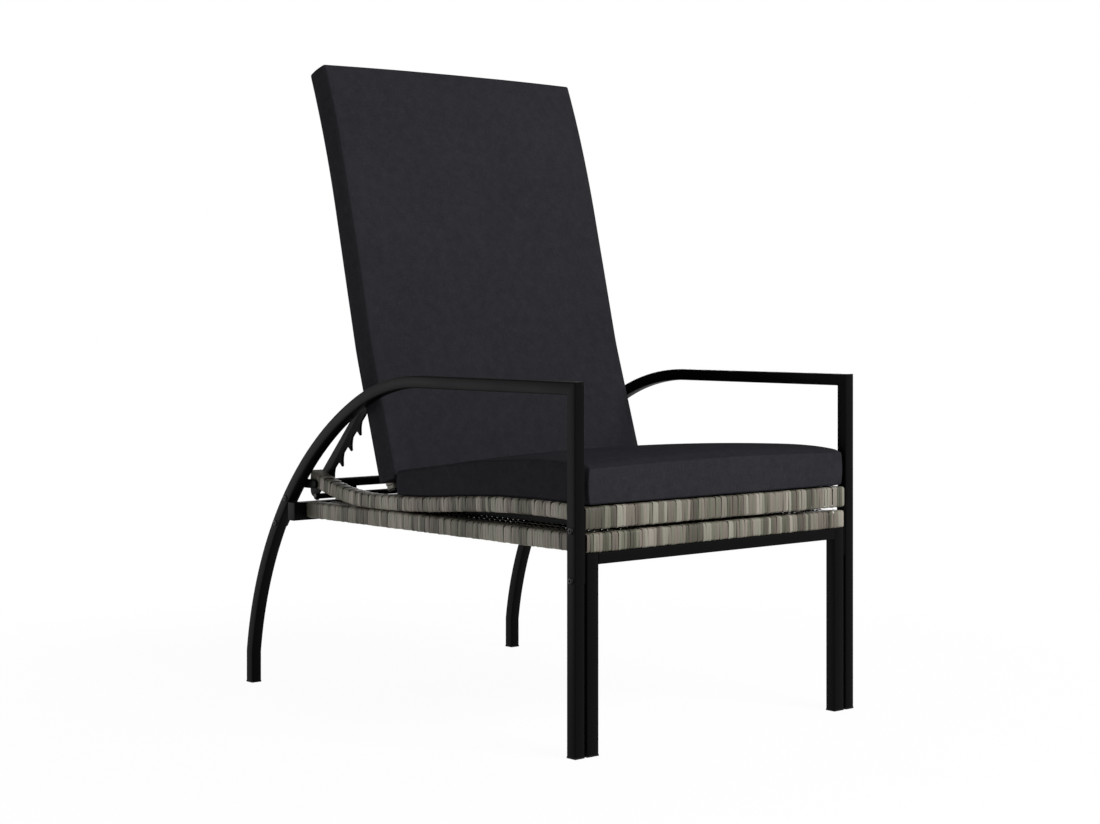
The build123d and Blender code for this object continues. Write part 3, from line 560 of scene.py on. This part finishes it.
def side_frame(name, x):
    """Leg, arm, shoulder, arch and foot in one bent tube with a mitred front corner."""
    leg_y = row(tube / 2)
    piece = start_tube(name, (x, leg_y, flange), tube, tube, tube_corner)
    with editing(piece):
        run((0, 0, arm_middle - flange))
        for point in chosen(piece):
            point.co.z = arm_middle + leg_y - point.co.y
        run((0, shoulder_start - tube / 2, 0))
        for point in chosen(piece):
            point.co.y = row(shoulder_start)
        shoulder_centre = (x, row(shoulder_start), arm_middle - shoulder_radius)
        turn(shoulder_centre, shoulder_turn, shoulder_step)
        turn((x, row(arch_depth), arch_height), arch_turn, arch_step)
        run((0, 0, flange - foot_length))
        for point in chosen(piece):
            point.co.z = flange
    close_up(piece, angle=40)
    return piece


for name, side in SIDES.items():
    piece = side_frame(f"{name}_bent_frame", side * (half_width - tube / 2))
    dress(piece, coat, "chair_frame", "black_tube", f"{name}_side_frame")


# Wave of the seat and line of the back, as the solids have them
crest = (0.120, 0.3725)
trough = (0.560, 0.353)
front_radius = 1.8
above_bar = 0.0065
bar_low, bar_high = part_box("ratchet_bar")
rear_rise = (bar_low.z + bar_high.z) / 2 + above_bar - trough[1]
rear_reach = (bar_low.y + bar_high.y) / 2 - row(trough[0])
rear_radius = (rear_reach**2 + rear_rise**2) / (2 * rear_rise)
wave_turn = 2 * atan((crest[1] - trough[1]) / (trough[0] - crest[0]))
wave_radius = (trough[0] - crest[0]) / (2 * sin(wave_turn))


def wave(depth):
    """Height and slope of the seat rails' centre line."""
    if depth <= crest[0]:
        centre, radius, way = (crest[0], crest[1] - front_radius), front_radius, 1
    elif depth <= (crest[0] + trough[0]) / 2:
        centre, radius, way = (crest[0], crest[1] - wave_radius), wave_radius, 1
    elif depth <= trough[0]:
        centre, radius, way = (trough[0], trough[1] + wave_radius), wave_radius, -1
    else:
        centre, radius, way = (trough[0], trough[1] + rear_radius), rear_radius, -1
    reach = depth - centre[0]
    rise = sqrt(radius**2 - reach**2)
    return centre[1] + way * rise, -way * reach / rise


# Share of the slope by which the strands lean: 0 is plumb, 1 square to the rail
lean_share = 0.4


def wave_place(depth):
    """Matrix for a strand on the seat rails at a depth. It is wound nearly plumb on the slopes."""
    height, slope = wave(depth)
    tilt = atan(slope)
    lean = lean_share * tilt
    place = along_rail(row(depth), height, tilt)
    place[1][2] = -sin(lean) / cos(tilt - lean)
    place[2][2] = cos(lean) / cos(tilt - lean)
    return place


def along_rail(y, z, tilt, x=0.0):
    """Matrix that takes a strand's own X along a rail and its Z up off it."""
    return Matrix(
        (
            (0, -1, 0, x),
            (cos(tilt), 0, -sin(tilt), y),
            (sin(tilt), 0, cos(tilt), z),
            (0, 0, 0, 1),
        )
    )


hinge = (0.550, 0.378)
back_tilt = radians(17.4)
straight_run = 0.217
lumbar_radius = 0.6
lumbar_run = lumbar_radius * radians(3.7)
middle_run = 0.238
upper_radius = 1.9
upper_run = upper_radius * radians(7)
back_length = straight_run + lumbar_run + middle_run + upper_run


def back_place(along):
    """Place and tilt of the back's line at a length up from the hinge."""
    tilt = back_tilt
    first = min(along, straight_run)
    y, z = hinge[0] + first * sin(tilt), hinge[1] + first * cos(tilt)
    bend = min(max(along - straight_run, 0), lumbar_run) / lumbar_radius
    y += lumbar_radius * (cos(tilt - bend) - cos(tilt))
    z += lumbar_radius * (sin(tilt) - sin(tilt - bend))
    tilt -= bend
    second = min(max(along - straight_run - lumbar_run, 0), middle_run)
    y, z = y + second * sin(tilt), z + second * cos(tilt)
    bend = max(along - straight_run - lumbar_run - middle_run, 0) / upper_radius
    y += upper_radius * (cos(tilt) - cos(tilt + bend))
    z += upper_radius * (sin(tilt + bend) - sin(tilt))
    return row(y), z, tilt + bend


# Strands
strand_pitch = 0.0064
strand_width = 0.0063
strand_drop = 0.0006
flat_share = 0.34
slope_share = 0.33


def strand_loop(wide, high, corner):
    """One half round strand wound once round a rail that runs along X."""
    bpy.ops.mesh.primitive_cube_add(size=1)
    piece = named("strand_pattern")
    piece.scale = (flat_share * strand_width, wide, high)
    settle(piece)
    with editing(piece):
        pick(piece, "FACE", lambda f: abs(f.normal.x) > mostly)
        bpy.ops.mesh.delete(type="ONLY_FACE")
        pick(piece, "EDGE", lambda e: runs_along(e, 0))
        bpy.ops.mesh.bevel(offset=corner, segments=2, affect="EDGES")
        for way in (-1, 1):
            rim = way * flat_share / 2 * strand_width
            pick(piece, "EDGE", lambda e: all(abs(v.co.x - rim) < merge_distance for v in e.verts))
            run((way * slope_share * strand_width, 0, 0))
            bpy.ops.transform.resize(
                value=(1, 1 - 2 * strand_drop / wide, 1 - 2 * strand_drop / high),
                center_override=(0, 0, 0),
            )
    only(piece)
    bpy.ops.object.shade_smooth()
    mark(piece, "across", points(piece)[:, 0] / (strand_width / 2))
    return piece


base_shades = (0.14, 0.27, 0.4, 0.5, 0.6, 0.72, 0.86)
run_lengths = (1, 1, 2, 2, 2, 3, 3, 6)
least_step = 0.13
shade_spread = 0.05


def shades(count, chance):
    """Shades of neighbouring strands, in runs of one shade as they are wound."""
    made = []
    last = 0.5
    while len(made) < count:
        last = chance.choice([shade for shade in base_shades if abs(shade - last) > least_step])
        for _ in range(chance.choice(run_lengths)):
            made.append(min(max(last + chance.uniform(-shade_spread, shade_spread), 0), 1))
    return made[:count]


def draw_together(strand, number, group, pull, high):
    """Shift a strand's upper part along its rail, so that the strands of a group meet on top."""
    places = points(strand)
    pulled_from, pulled_over = 0.15, 0.3
    rise = np.clip((places[:, 2] / high - pulled_from) / pulled_over, 0, 1)
    places[:, 0] += (1 - 2 * (number % group) / (group - 1)) * pull * rise**2
    put_points(strand, places)


most_shift = 0.0003
kept_lean = 0.8


def lay(name, pattern, places, seed, slant=1.3, uneven=0.028, group=None):
    """Copy a pattern to each place, shade it and join the copies.

    slant is in degrees, uneven a share of the size. group is how many strands meet on top,
    how far they are drawn there and how high the winding is; the last ones stay apart.
    """
    chance = random.Random(seed)
    tones = shades(len(places), chance)
    grouped = len(places) - len(places) % group[0] - group[0] if group else 0
    copies = []
    angle = 0.0
    for number, (place, tone) in enumerate(zip(places, tones)):
        copy = duplicate(pattern)
        if number < grouped:
            draw_together(copy, number, *group)
        angle = kept_lean * angle + chance.uniform(-slant, slant)
        lean = Matrix.Rotation(radians(angle), 4, "Z")
        shift = Matrix.Translation((chance.uniform(-most_shift, most_shift), 0, 0))
        swell = 1 + chance.uniform(-uneven, uneven)
        copy.data.transform(place @ shift @ lean @ Matrix.Diagonal((1, swell, swell, 1)))
        mark(copy, "shade", np.full(len(copy.data.vertices), tone))
        copies.append(copy)
    return join(copies, name)


def squeezed(place, share):
    """The place of an end strand, wound tighter so that the end of the band is rounded."""
    return place @ Matrix.Diagonal((1, share, share, 1))


def spread(start, end, pitch=strand_pitch):
    """Even places from start to end, about one pitch apart."""
    count = max(int(round((end - start) / pitch)), 1)
    step = (end - start) / count
    return [start + (number + 0.5) * step for number in range(count)]


def ends_round(places):
    """Wind the two outermost strands at each end tighter."""
    made = list(places)
    for number, share in enumerate((0.965, 0.99)):
        made[number] = squeezed(made[number], share)
        made[-1 - number] = squeezed(made[-1 - number], share)
    return made


cover_inset = 0.0012
cover_corner = 0.0035
cover_shade = 0.3
cover_share = 0.3


def close_end(piece, place, way, wide, high):
    """Close the open end of a winding, so wide and so high, with a flat cover."""
    across, up = wide - cover_inset, high - cover_inset
    cover = start_tube("end_cover", (0, 0, 0), across, up, cover_corner)
    out = way * cover_share * strand_width
    cover.data.transform(
        place @ Matrix(((0, 0, 1, out), (1, 0, 0, 0), (0, 1, 0, 0), (0, 0, 0, 1)))
    )
    mark(cover, "shade", np.full(len(cover.data.vertices), cover_shade))
    mark(cover, "across", np.zeros(len(cover.data.vertices)))
    join([piece, cover], piece.name)


rail_x = 0.2815
rail_wide = 0.027
rail_high = 0.025
rail_corner = 0.0042
winding_start = 0.0284
winding_end = 0.7376
wave_steps = 800


def wave_strands():
    """Evenly spaced strand places along the wave, by its length."""
    depths = np.linspace(winding_start, winding_end, wave_steps)
    heights = np.array([wave(depth)[0] for depth in depths])
    lengths = np.concatenate([[0], np.cumsum(np.hypot(np.diff(depths), np.diff(heights)))])
    return [wave_place(float(np.interp(at, lengths, depths))) for at in spread(0, lengths[-1])]


seat_group = (3, 0.0019, rail_high)
pattern = strand_loop(rail_wide, rail_high, rail_corner)
for name, side in SIDES.items():
    places = [Matrix.Translation((side * rail_x, 0, 0)) @ place for place in wave_strands()]
    seed = 11 + side
    piece = lay(f"{name}_seat_winding", pattern, ends_round(places), seed, group=seat_group)
    close_end(piece, places[-1], 1, rail_wide, rail_high)
    dress(piece, strand_finish, "chair_frame", "woven_strand", f"{name}_seat_wrap")
drop(pattern)

# The footrest's side bands are fuller on top than their solids, as in the photograph
foot_fuller = 0.0025
foot_end_gap = 0.0004
foot_low, foot_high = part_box("left_footrest_wrap")
foot_high.z += foot_fuller
foot_band = foot_high.z - foot_low.z
foot_middle = (foot_low.z + foot_high.z) / 2
foot_group = (3, 0.0012, foot_band)
pattern = strand_loop(rail_wide, foot_band, rail_corner)
for name, side in SIDES.items():
    depths = spread(foot_low.y, foot_high.y - foot_end_gap)
    places = [along_rail(y, foot_middle, 0, side * rail_x) for y in depths]
    seed = 21 + side
    piece = lay(f"{name}_footrest_winding", pattern, ends_round(places), seed, group=foot_group)
    dress(piece, strand_finish, "footrest", "woven_strand", f"{name}_footrest_wrap")
drop(pattern)

front_corner = 0.0036
front_slant = 2.4
front_pull = 0.0006


def front_winding(name, node, seed, above, below):
    """Strands round a front rail, end to end, a little fuller above and below than the solid."""
    low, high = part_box(node)
    high.z += above
    low.z -= below
    pattern = strand_loop(high.y - low.y, high.z - low.z, front_corner)
    middle = (low + high) / 2
    places = [Matrix.Translation((x, middle.y, middle.z)) for x in spread(low.x, high.x)]
    group = (2, front_pull, high.z - low.z)
    piece = lay(name, pattern, ends_round(places), seed, front_slant, group=group)
    drop(pattern)
    return piece


dress(
    front_winding("seat_front_winding", "seat_front_wrap", 31, above=0.001, below=0.0025),
    strand_finish,
    "chair_frame",
    "woven_strand",
    "seat_front_wrap",
)
dress(
    front_winding("footrest_front_winding", "footrest_front_wrap", 33, above=0.004, below=0),
    strand_finish,
    "footrest",
    "woven_strand",
    "footrest_front_wrap",
)

back_x = 0.246
back_size = 0.025
back_corner = 0.004
back_tail = 0.005
back_top_gap = 0.0026
washer_window = 0.0088
washer_face = back_x - 0.0095
pivot_along = 0.1639
pivot_bare = 0.0115


def over_washer(place, side):
    """Whether a place lies at the hinge's washer, where the winding is left open inside."""
    y, z = place.y - row(hinge[0]), place.z - hinge[1]
    along = y * sin(back_tilt) + z * cos(back_tilt)
    forward = z * sin(back_tilt) - y * cos(back_tilt)
    return max(abs(along), abs(forward)) < washer_window and side * place.x < washer_face


pattern = strand_loop(back_size, back_size, back_corner)
for name, side in SIDES.items():
    places = []
    for along in spread(-back_tail, back_length - back_top_gap):
        if abs(along - pivot_along) > pivot_bare:
            y, z, tilt = back_place(along)
            places.append(along_rail(y, z, pi / 2 - tilt, side * back_x))
    piece = lay(f"{name}_back_winding", pattern, ends_round(places), 41 + side)
    with editing(piece):
        pick(piece, "FACE", lambda f: over_washer(f.calc_center_median(), side))
        bpy.ops.mesh.delete(type="FACE")
    dress(piece, strand_finish, "backrest", "woven_strand", f"{name}_back_wrap")

above_uprights = 0.0104
top_low, top_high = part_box("back_top_wrap")
top_y, top_z, top_tilt = back_place(back_length + above_uprights)
turned = Matrix.Rotation(-top_tilt, 4, "X")
places = [
    Matrix.Translation((x, top_y, top_z)) @ turned for x in spread(top_low.x, top_high.x)
]
piece = lay("back_top_winding", pattern, ends_round(places), 51)
for place, way in ((places[0], -1), (places[-1], 1)):
    close_end(piece, place, way, back_size, back_size)
dress(piece, strand_finish, "backrest", "woven_strand", "back_top_wrap")
drop(pattern)


# Woven sheets
weft_pitch = 0.0068
warp_pitch = 0.0140
weave_rise = 0.0010
weft_share = 0.995
warp_share = 0.8
strip_camber = 0.0006
strip_thickness = 0.0009
sheet_lift = 0.0102
warp_margin = 0.004
warp_shades = (0.1, 0.25, 0.4, 0.55)


def strip(long, wide, segments, rise, pitch):
    """One flat strand that goes over and under, along X, with a rounded back."""
    bpy.ops.mesh.primitive_grid_add(x_subdivisions=segments, y_subdivisions=2, size=1)
    piece = named("strip_pattern")
    piece.scale = (long, wide, 1)
    settle(piece)
    places = points(piece)
    share = places[:, 1] / (wide / 2)
    places[:, 2] = rise * np.cos(pi * places[:, 0] / pitch) - strip_camber * share**2
    put_points(piece, places)
    mark(piece, "across", share)
    apply(piece, "SOLIDIFY", thickness=strip_thickness, offset=-1)
    only(piece)
    bpy.ops.object.shade_smooth_by_angle(angle=radians(50))
    return piece


def woven_sheet(name, half_wide, start, end, place_of, seed):
    """Plain weave of flat strands between two rails, along a path."""
    chance = random.Random(seed)
    rows = spread(start, end, weft_pitch)
    columns = int(round(2 * half_wide / warp_pitch))
    pitch = 2 * half_wide / columns
    weft = strip(2 * half_wide, weft_pitch * weft_share, 2 * columns, weave_rise, pitch)
    squeeze = Matrix.Diagonal(((2 * half_wide - pitch) / (2 * half_wide), 1, 1, 1))
    places = []
    for number, at in enumerate(rows):
        phase = Matrix.Translation((pitch / 2 if number % 2 else -pitch / 2, 0, 0))
        places.append(place_of(at) @ phase @ squeeze)
    wefts = lay(f"{name}_wefts", weft, places, seed, slant=0.05, uneven=0)
    drop(weft)
    length = end - start
    step = length / len(rows)
    warp = strip(length, warp_pitch * warp_share, 2 * len(rows), -weave_rise, step)
    warps = []
    for number in range(columns + 1):
        x = -half_wide + number * pitch
        if abs(x) > half_wide - warp_margin:
            continue
        copy = duplicate(warp)
        places = points(copy)
        way = 1 if number % 2 else -1
        bent = np.empty_like(places)
        for index, (along, across, up) in enumerate(places):
            at = place_of(start + length / 2 + float(along))
            bent[index] = at @ Vector((x + float(across), 0, way * float(up)))
        put_points(copy, bent)
        mark(copy, "shade", np.full(len(copy.data.vertices), chance.choice(warp_shades)))
        warps.append(copy)
    drop(warp)
    piece = join([wefts, *warps], name)
    with editing(piece):
        bpy.ops.mesh.normals_make_consistent(inside=False)
    return piece


def sheet_place(y, z, tilt):
    """Matrix for a strand that runs across the object: its X across, its Y along, its Z up."""
    return Matrix(
        (
            (1, 0, 0, 0),
            (0, cos(tilt), -sin(tilt), y),
            (0, sin(tilt), cos(tilt), z),
            (0, 0, 0, 1),
        )
    )


def seat_sheet(depth):
    """Place of the seat's weave, on top of the rails' centre line."""
    height, slope = wave(depth)
    tilt = atan(slope)
    return sheet_place(row(depth) - sheet_lift * sin(tilt), height + sheet_lift * cos(tilt), tilt)


def back_sheet(along):
    """Place of the back's weave, on the front of the uprights' centre line."""
    y, z, tilt = back_place(along)
    return sheet_place(y - sheet_lift * cos(tilt), z + sheet_lift * sin(tilt), pi / 2 - tilt)


deck_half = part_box("seat_deck")[1].x
deck_start, deck_end = 0.0270, 0.5100
seat_weave = woven_sheet("seat_weave", deck_half, deck_start, deck_end, seat_sheet, 61)
dress(seat_weave, strand_finish, "chair_frame", "woven_strand", "seat_deck")

panel_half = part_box("back_panel")[1].x
panel_start, panel_end = 0.0240, back_length - back_top_gap
back_weave = woven_sheet("back_weave", panel_half, panel_start, panel_end, back_sheet, 63)
dress(back_weave, strand_finish, "backrest", "woven_strand", "back_panel")

foot_deck_low, foot_deck_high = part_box("footrest_deck")
foot_deck_height = (foot_deck_low.z + foot_deck_high.z) / 2
foot_weave = woven_sheet(
    "footrest_weave",
    foot_deck_high.x,
    foot_deck_low.y - front_face,
    foot_deck_high.y - front_face,
    lambda depth: sheet_place(row(depth), foot_deck_height, 0),
    65,
)
dress(foot_weave, strand_finish, "footrest", "woven_strand", "footrest_deck")


# Footrest legs, front bar and rear stop
for name in SIDES:
    piece = rounded_bar(f"{name}_footrest_post", f"{name}_footrest_leg", 2, tube_corner)
    dress(piece, coat, "footrest", "black_tube", f"{name}_footrest_leg")
piece = rounded_bar("footrest_cross_bar", "footrest_front_bar", 0, corner=0.0018)
dress(piece, coat, "footrest", "black_tube", "footrest_front_bar")
piece = rounded_bar("footrest_rear_stop", "footrest_stop_bar", 0, corner=0.002)
dress(piece, coat, "footrest", "black_tube", "footrest_stop_bar")


# Flat steel parts and caps with rounded edges
def soften(node, finish, body, slot, width):
    """Let a piece with rounded edges stand for its node."""
    piece = softened(f"{node}_shaped", node, width)
    return dress(piece, finish, body, slot, node)


for name in SIDES:
    soften(f"{name}_toothed_strut", coat, "struts", "black_tube", 0.0007)
    soften(f"{name}_hinge_ear", coat, "chair_frame", "black_tube", 0.0006)
    soften(f"{name}_front_plate", coat, "chair_frame", "black_tube", 0.0005)
    soften(f"{name}_rear_plate", coat, "chair_frame", "black_tube", 0.0005)
    soften(f"{name}_slide_glide", nylon_finish, "footrest", "glide_nylon", 0.0006)
soften("hinge_bolts", fixing_finish, "chair_frame", "fixings", 0.0005)
soften("strut_bolts", fixing_finish, "backrest", "fixings", 0.0005)
soften("tie_rod_bolts", fixing_finish, "struts", "fixings", 0.0004)
soften("side_frame_caps", cap_finish, "chair_frame", "foot_plastic", 0.0006)
soften("footrest_leg_caps", cap_finish, "footrest", "foot_plastic", 0.0006)
soften("stop_bar_caps", cap_finish, "footrest", "foot_plastic", 0.0004)


# Frame bolts: button heads with a six sided socket
dome_share = 0.75
socket_share = 0.42
socket_start = 0.95
socket_turn = radians(17)


def rod(name, sides, radius, length, x):
    """A round or many sided rod along X, with its middle at x."""
    bpy.ops.mesh.primitive_cylinder_add(
        vertices=sides, radius=radius, depth=length, location=(x, 0, 0), rotation=(0, pi / 2, 0)
    )
    piece = named(name)
    settle(piece)
    return piece


def button_bolt(radius, height, shank_radius, shank_length):
    """One bolt along X with its head outwards at the origin."""
    piece = rod("bolt_pattern", 32, radius, height, height / 2)
    with editing(piece):
        pick(piece, "EDGE", lambda e: all(v.co.x > height * mostly for v in e.verts))
        bpy.ops.mesh.bevel(offset=height * dome_share, segments=5, affect="EDGES")
        pick(piece, "FACE", lambda f: f.normal.x < -mostly)
        bpy.ops.mesh.inset(thickness=radius - shank_radius)
        run((-shank_length, 0, 0))
    key = rod("socket_pattern", 6, radius * socket_share, height, height * socket_start)
    apply(piece, "BOOLEAN", operation="DIFFERENCE", object=key, solver="EXACT")
    drop(key)
    return piece


bolt_heights = {"front": (0.2705, 0.3466), "rear": (0.3450, 0.2986)}
pattern = button_bolt(radius=0.0054, height=0.0027, shank_radius=0.003, shank_length=0.023)
copies = []
for side in SIDES.values():
    for end, heights in bolt_heights.items():
        for height in heights:
            depth = tube / 2
            if end == "rear":
                depth = arch_depth + sqrt(arch_radius**2 - (height - arch_height) ** 2)
            copy = duplicate(pattern)
            spin = Matrix.Rotation(socket_turn * len(copies), 4, "X")
            facing = Matrix.Rotation(0 if side > 0 else pi, 4, "Z")
            place = Matrix.Translation((side * half_width, row(depth), height))
            copy.data.transform(place @ facing @ spin)
            copies.append(copy)
drop(pattern)
piece = join(copies, "frame_button_bolts")
close_up(piece)
dress(piece, fixing_finish, "chair_frame", "fixings", "frame_bolts")


# Cushions
pad_cuts = (72, 66, 7)
edge_power = 1.2
stuffing_pressure = 4
stuffing_frames = 20
most_sink = 0.0003
most_swell = 0.0012
seam_middle = 0.70
seam_spread = 0.16


def box_grid(name, cuts):
    """A cube from -1 to 1, cut into even strips along each axis."""
    bpy.ops.mesh.primitive_cube_add(size=2)
    piece = named(name)
    with editing(piece):
        for axis, count in enumerate(cuts):
            pick(piece, "EDGE", lambda e: runs_along(e, axis))
            bpy.ops.mesh.subdivide(number_cuts=count)
    return piece


def cushion(name, form, face_way):
    """Stuffed box cushion: a gridded box bent to its form, swelled by cloth under pressure."""
    piece = box_grid(name, pad_cuts)
    places = points(piece)
    places = np.sign(places) * (1 - (1 - np.abs(places)) ** edge_power)
    put_points(piece, [form(*place) for place in places.tolist()])
    with editing(piece):
        bpy.ops.mesh.normals_make_consistent(inside=False)
    rest = points(piece)
    only(piece)
    cloth = piece.modifiers.new("stuffing", "CLOTH")
    cloth.settings.use_pressure = True
    cloth.settings.uniform_pressure_force = stuffing_pressure
    cloth.settings.effector_weights.gravity = 0
    cloth.settings.quality = 5
    cloth.point_cache.frame_start = 1
    cloth.point_cache.frame_end = stuffing_frames
    for number in range(1, stuffing_frames + 1):
        scene.frame_set(number)
    bpy.ops.object.modifier_apply(modifier="stuffing")
    scene.frame_set(1)
    moved = points(piece) - rest
    put_points(piece, rest)
    outward = vertex_normals(piece)
    reach = np.clip((moved * outward).sum(axis=1), -most_sink, most_swell)
    put_points(piece, rest + outward * reach[:, None])
    apply(piece, "SMOOTH", iterations=1, factor=0.3)
    apply(piece, "SUBSURF", levels=1, render_levels=1)
    facing = np.abs(vertex_normals(piece) @ np.asarray(face_way, dtype=np.float32))
    mark(piece, "seam", np.exp(-(((facing - seam_middle) / seam_spread) ** 2)))
    only(piece)
    bpy.ops.object.shade_smooth()
    return piece


cushion_half = half_width - 0.0275
cushion_lift = 0.0134
side_bulge = 0.003
seat_pad_length = 0.488
seat_thickness = 0.063
hip_thinning = 0.022
seat_crown = 0.009
least_crown = 0.5
knee_power = 8
knee_drop = 0.008
knee_lift = 0.003
back_pad_start = 0.0015
back_pad_extra = 0.0225
back_thickness = 0.052
back_crown = 0.006


def box_section(x, up, thickness, crown):
    """Place across a cushion and height above its underside: soft sides and a crowned top."""
    high = thickness - crown * x**2
    return x * (cushion_half - side_bulge * up**2), (up + 1) / 2 * high


def seat_form(x, along, up):
    """A place on the seat cushion, which thins towards the hips and is rounded at the knees."""
    share = (along + 1) / 2
    depth = seat_pad_length * share
    soft = 1 - sqrt(1 - min(along, 0) ** knee_power)
    crown = seat_crown * max(1 - soft, least_crown)
    thickness = seat_thickness - hip_thinning * share**2 + crown - knee_drop * soft
    across, rise = box_section(x, up, thickness, crown)
    return across, row(depth), wave(depth)[0] + cushion_lift + knee_lift * soft + rise


def back_form(x, along, up):
    """A place on the back cushion, which follows the line of the back."""
    y, z, tilt = back_place(back_pad_start + (back_length + back_pad_extra) * (along + 1) / 2)
    across, rise = box_section(x, up, back_thickness, back_crown)
    out = cushion_lift + rise
    return across, y - out * cos(tilt), z + out * sin(tilt)


seat_pad = cushion("seat_pad", seat_form, (0, 0, 1))
dress(seat_pad, cloth_finish, "chair_frame", "cushion_fabric", "seat_cushion")
back_pad = cushion("back_pad", back_form, (0, -cos(back_tilt), sin(back_tilt)))
dress(back_pad, cloth_finish, "backrest", "cushion_fabric", "back_cushion")


# Solids that keep their own shape
tubes = [
    "seat_front_rail",
    "left_seat_rail",
    "right_seat_rail",
    "seat_cross_tubes",
    "hinge_cross_tube",
    "deck_rear_bar",
    "ratchet_bar",
    "left_slide_track",
    "right_slide_track",
    "track_hangers",
    "left_back_tube",
    "right_back_tube",
    "back_top_tube",
    "back_low_slat",
    "back_middle_slat",
    "strut_tie_rod",
    "footrest_front_rail",
    "left_footrest_rail",
    "right_footrest_rail",
    "footrest_cross_tubes",
]
repaint(coat, *tubes)
repaint(fixing_finish, "hinge_washers", "strut_washers")


# Floor, world and lights
bpy.ops.mesh.primitive_plane_add(size=60, location=(0, 0, 0))
floor = named("studio_floor")


SHOWN_RAYS = ("Is Camera Ray", "Is Glossy Ray", "Is Transmission Ray")


def seen_directly(finish):
    """1 for rays that show the background: camera, glossy and transmission."""
    rays = finish.node("ShaderNodeLightPath").socket.node
    camera_ray, glossy_ray, through_ray = (Value(finish, rays.outputs[name]) for name in SHOWN_RAYS)
    total = camera_ray + glossy_ray + through_ray
    return total.sum("MINIMUM", total, 1.0)


ground = Finish("pale_floor", Roughness=0.9, Specular_IOR_Level=0.1)
ground.shader.inputs["Base Color"].default_value = (0.9, 0.9, 0.9, 1)
glow = ground.node("ShaderNodeEmission", links={"Color": (1, 1, 1, 1), "Strength": 1.0})
away_x, away_y = ground.parts(ground.place())[:2]
away = (away_x * away_x + away_y * away_y) ** 0.5
shown_near = 0.96
shown = seen_directly(ground) * (shown_near + (1 - shown_near) * away.ramp(0.7, 1.6))
mixer = ground.node(
    "ShaderNodeMixShader",
    links={0: shown, 1: Value(ground, ground.shader.outputs[0]), 2: glow},
)
output = ground.tree.nodes["Material Output"]
ground.tree.links.new(mixer.socket, output.inputs["Surface"])
floor.data.materials.append(ground.material)

world = bpy.data.worlds.new("soft_studio")
scene.world = world
world.use_nodes = True


class Sky(Finish):
    """The world's nodes, which have no principled shader."""

    def __init__(self, tree):
        self.tree = tree


sky = Sky(world.node_tree)
fill = 0.17
strength = fill + (1 - fill) * seen_directly(sky)
backdrop = world.node_tree.nodes["Background"]
backdrop.inputs["Color"].default_value = (1, 1, 1, 1)
world.node_tree.links.new(strength.socket, backdrop.inputs["Strength"])


def soft_lamp(name, place, aim, size, power):
    """A large flat lamp that faces its aim."""
    data = bpy.data.lights.new(name, "AREA")
    data.shape = "RECTANGLE"
    data.size, data.size_y = size
    data.energy = power
    lamp = bpy.data.objects.new(name, data)
    lamp.location = place
    lamp.rotation_euler = (Vector(aim) - Vector(place)).to_track_quat("-Z", "Y").to_euler()
    scene.collection.objects.link(lamp)


soft_lamp("key", place=(0.6, -3.9, 3.0), aim=(0, 0, 0.5), size=(2.4, 1.5), power=218)
soft_lamp("right_rear", place=(3.2, 2.6, 1.3), aim=(0, 0, 0.5), size=(2.2, 1.4), power=60)
soft_lamp("left_rear", place=(-2.9, 2.9, 0.46), aim=(0, 0, 0.4), size=(2.2, 0.84), power=52)

scene.view_settings.view_transform = "Standard"
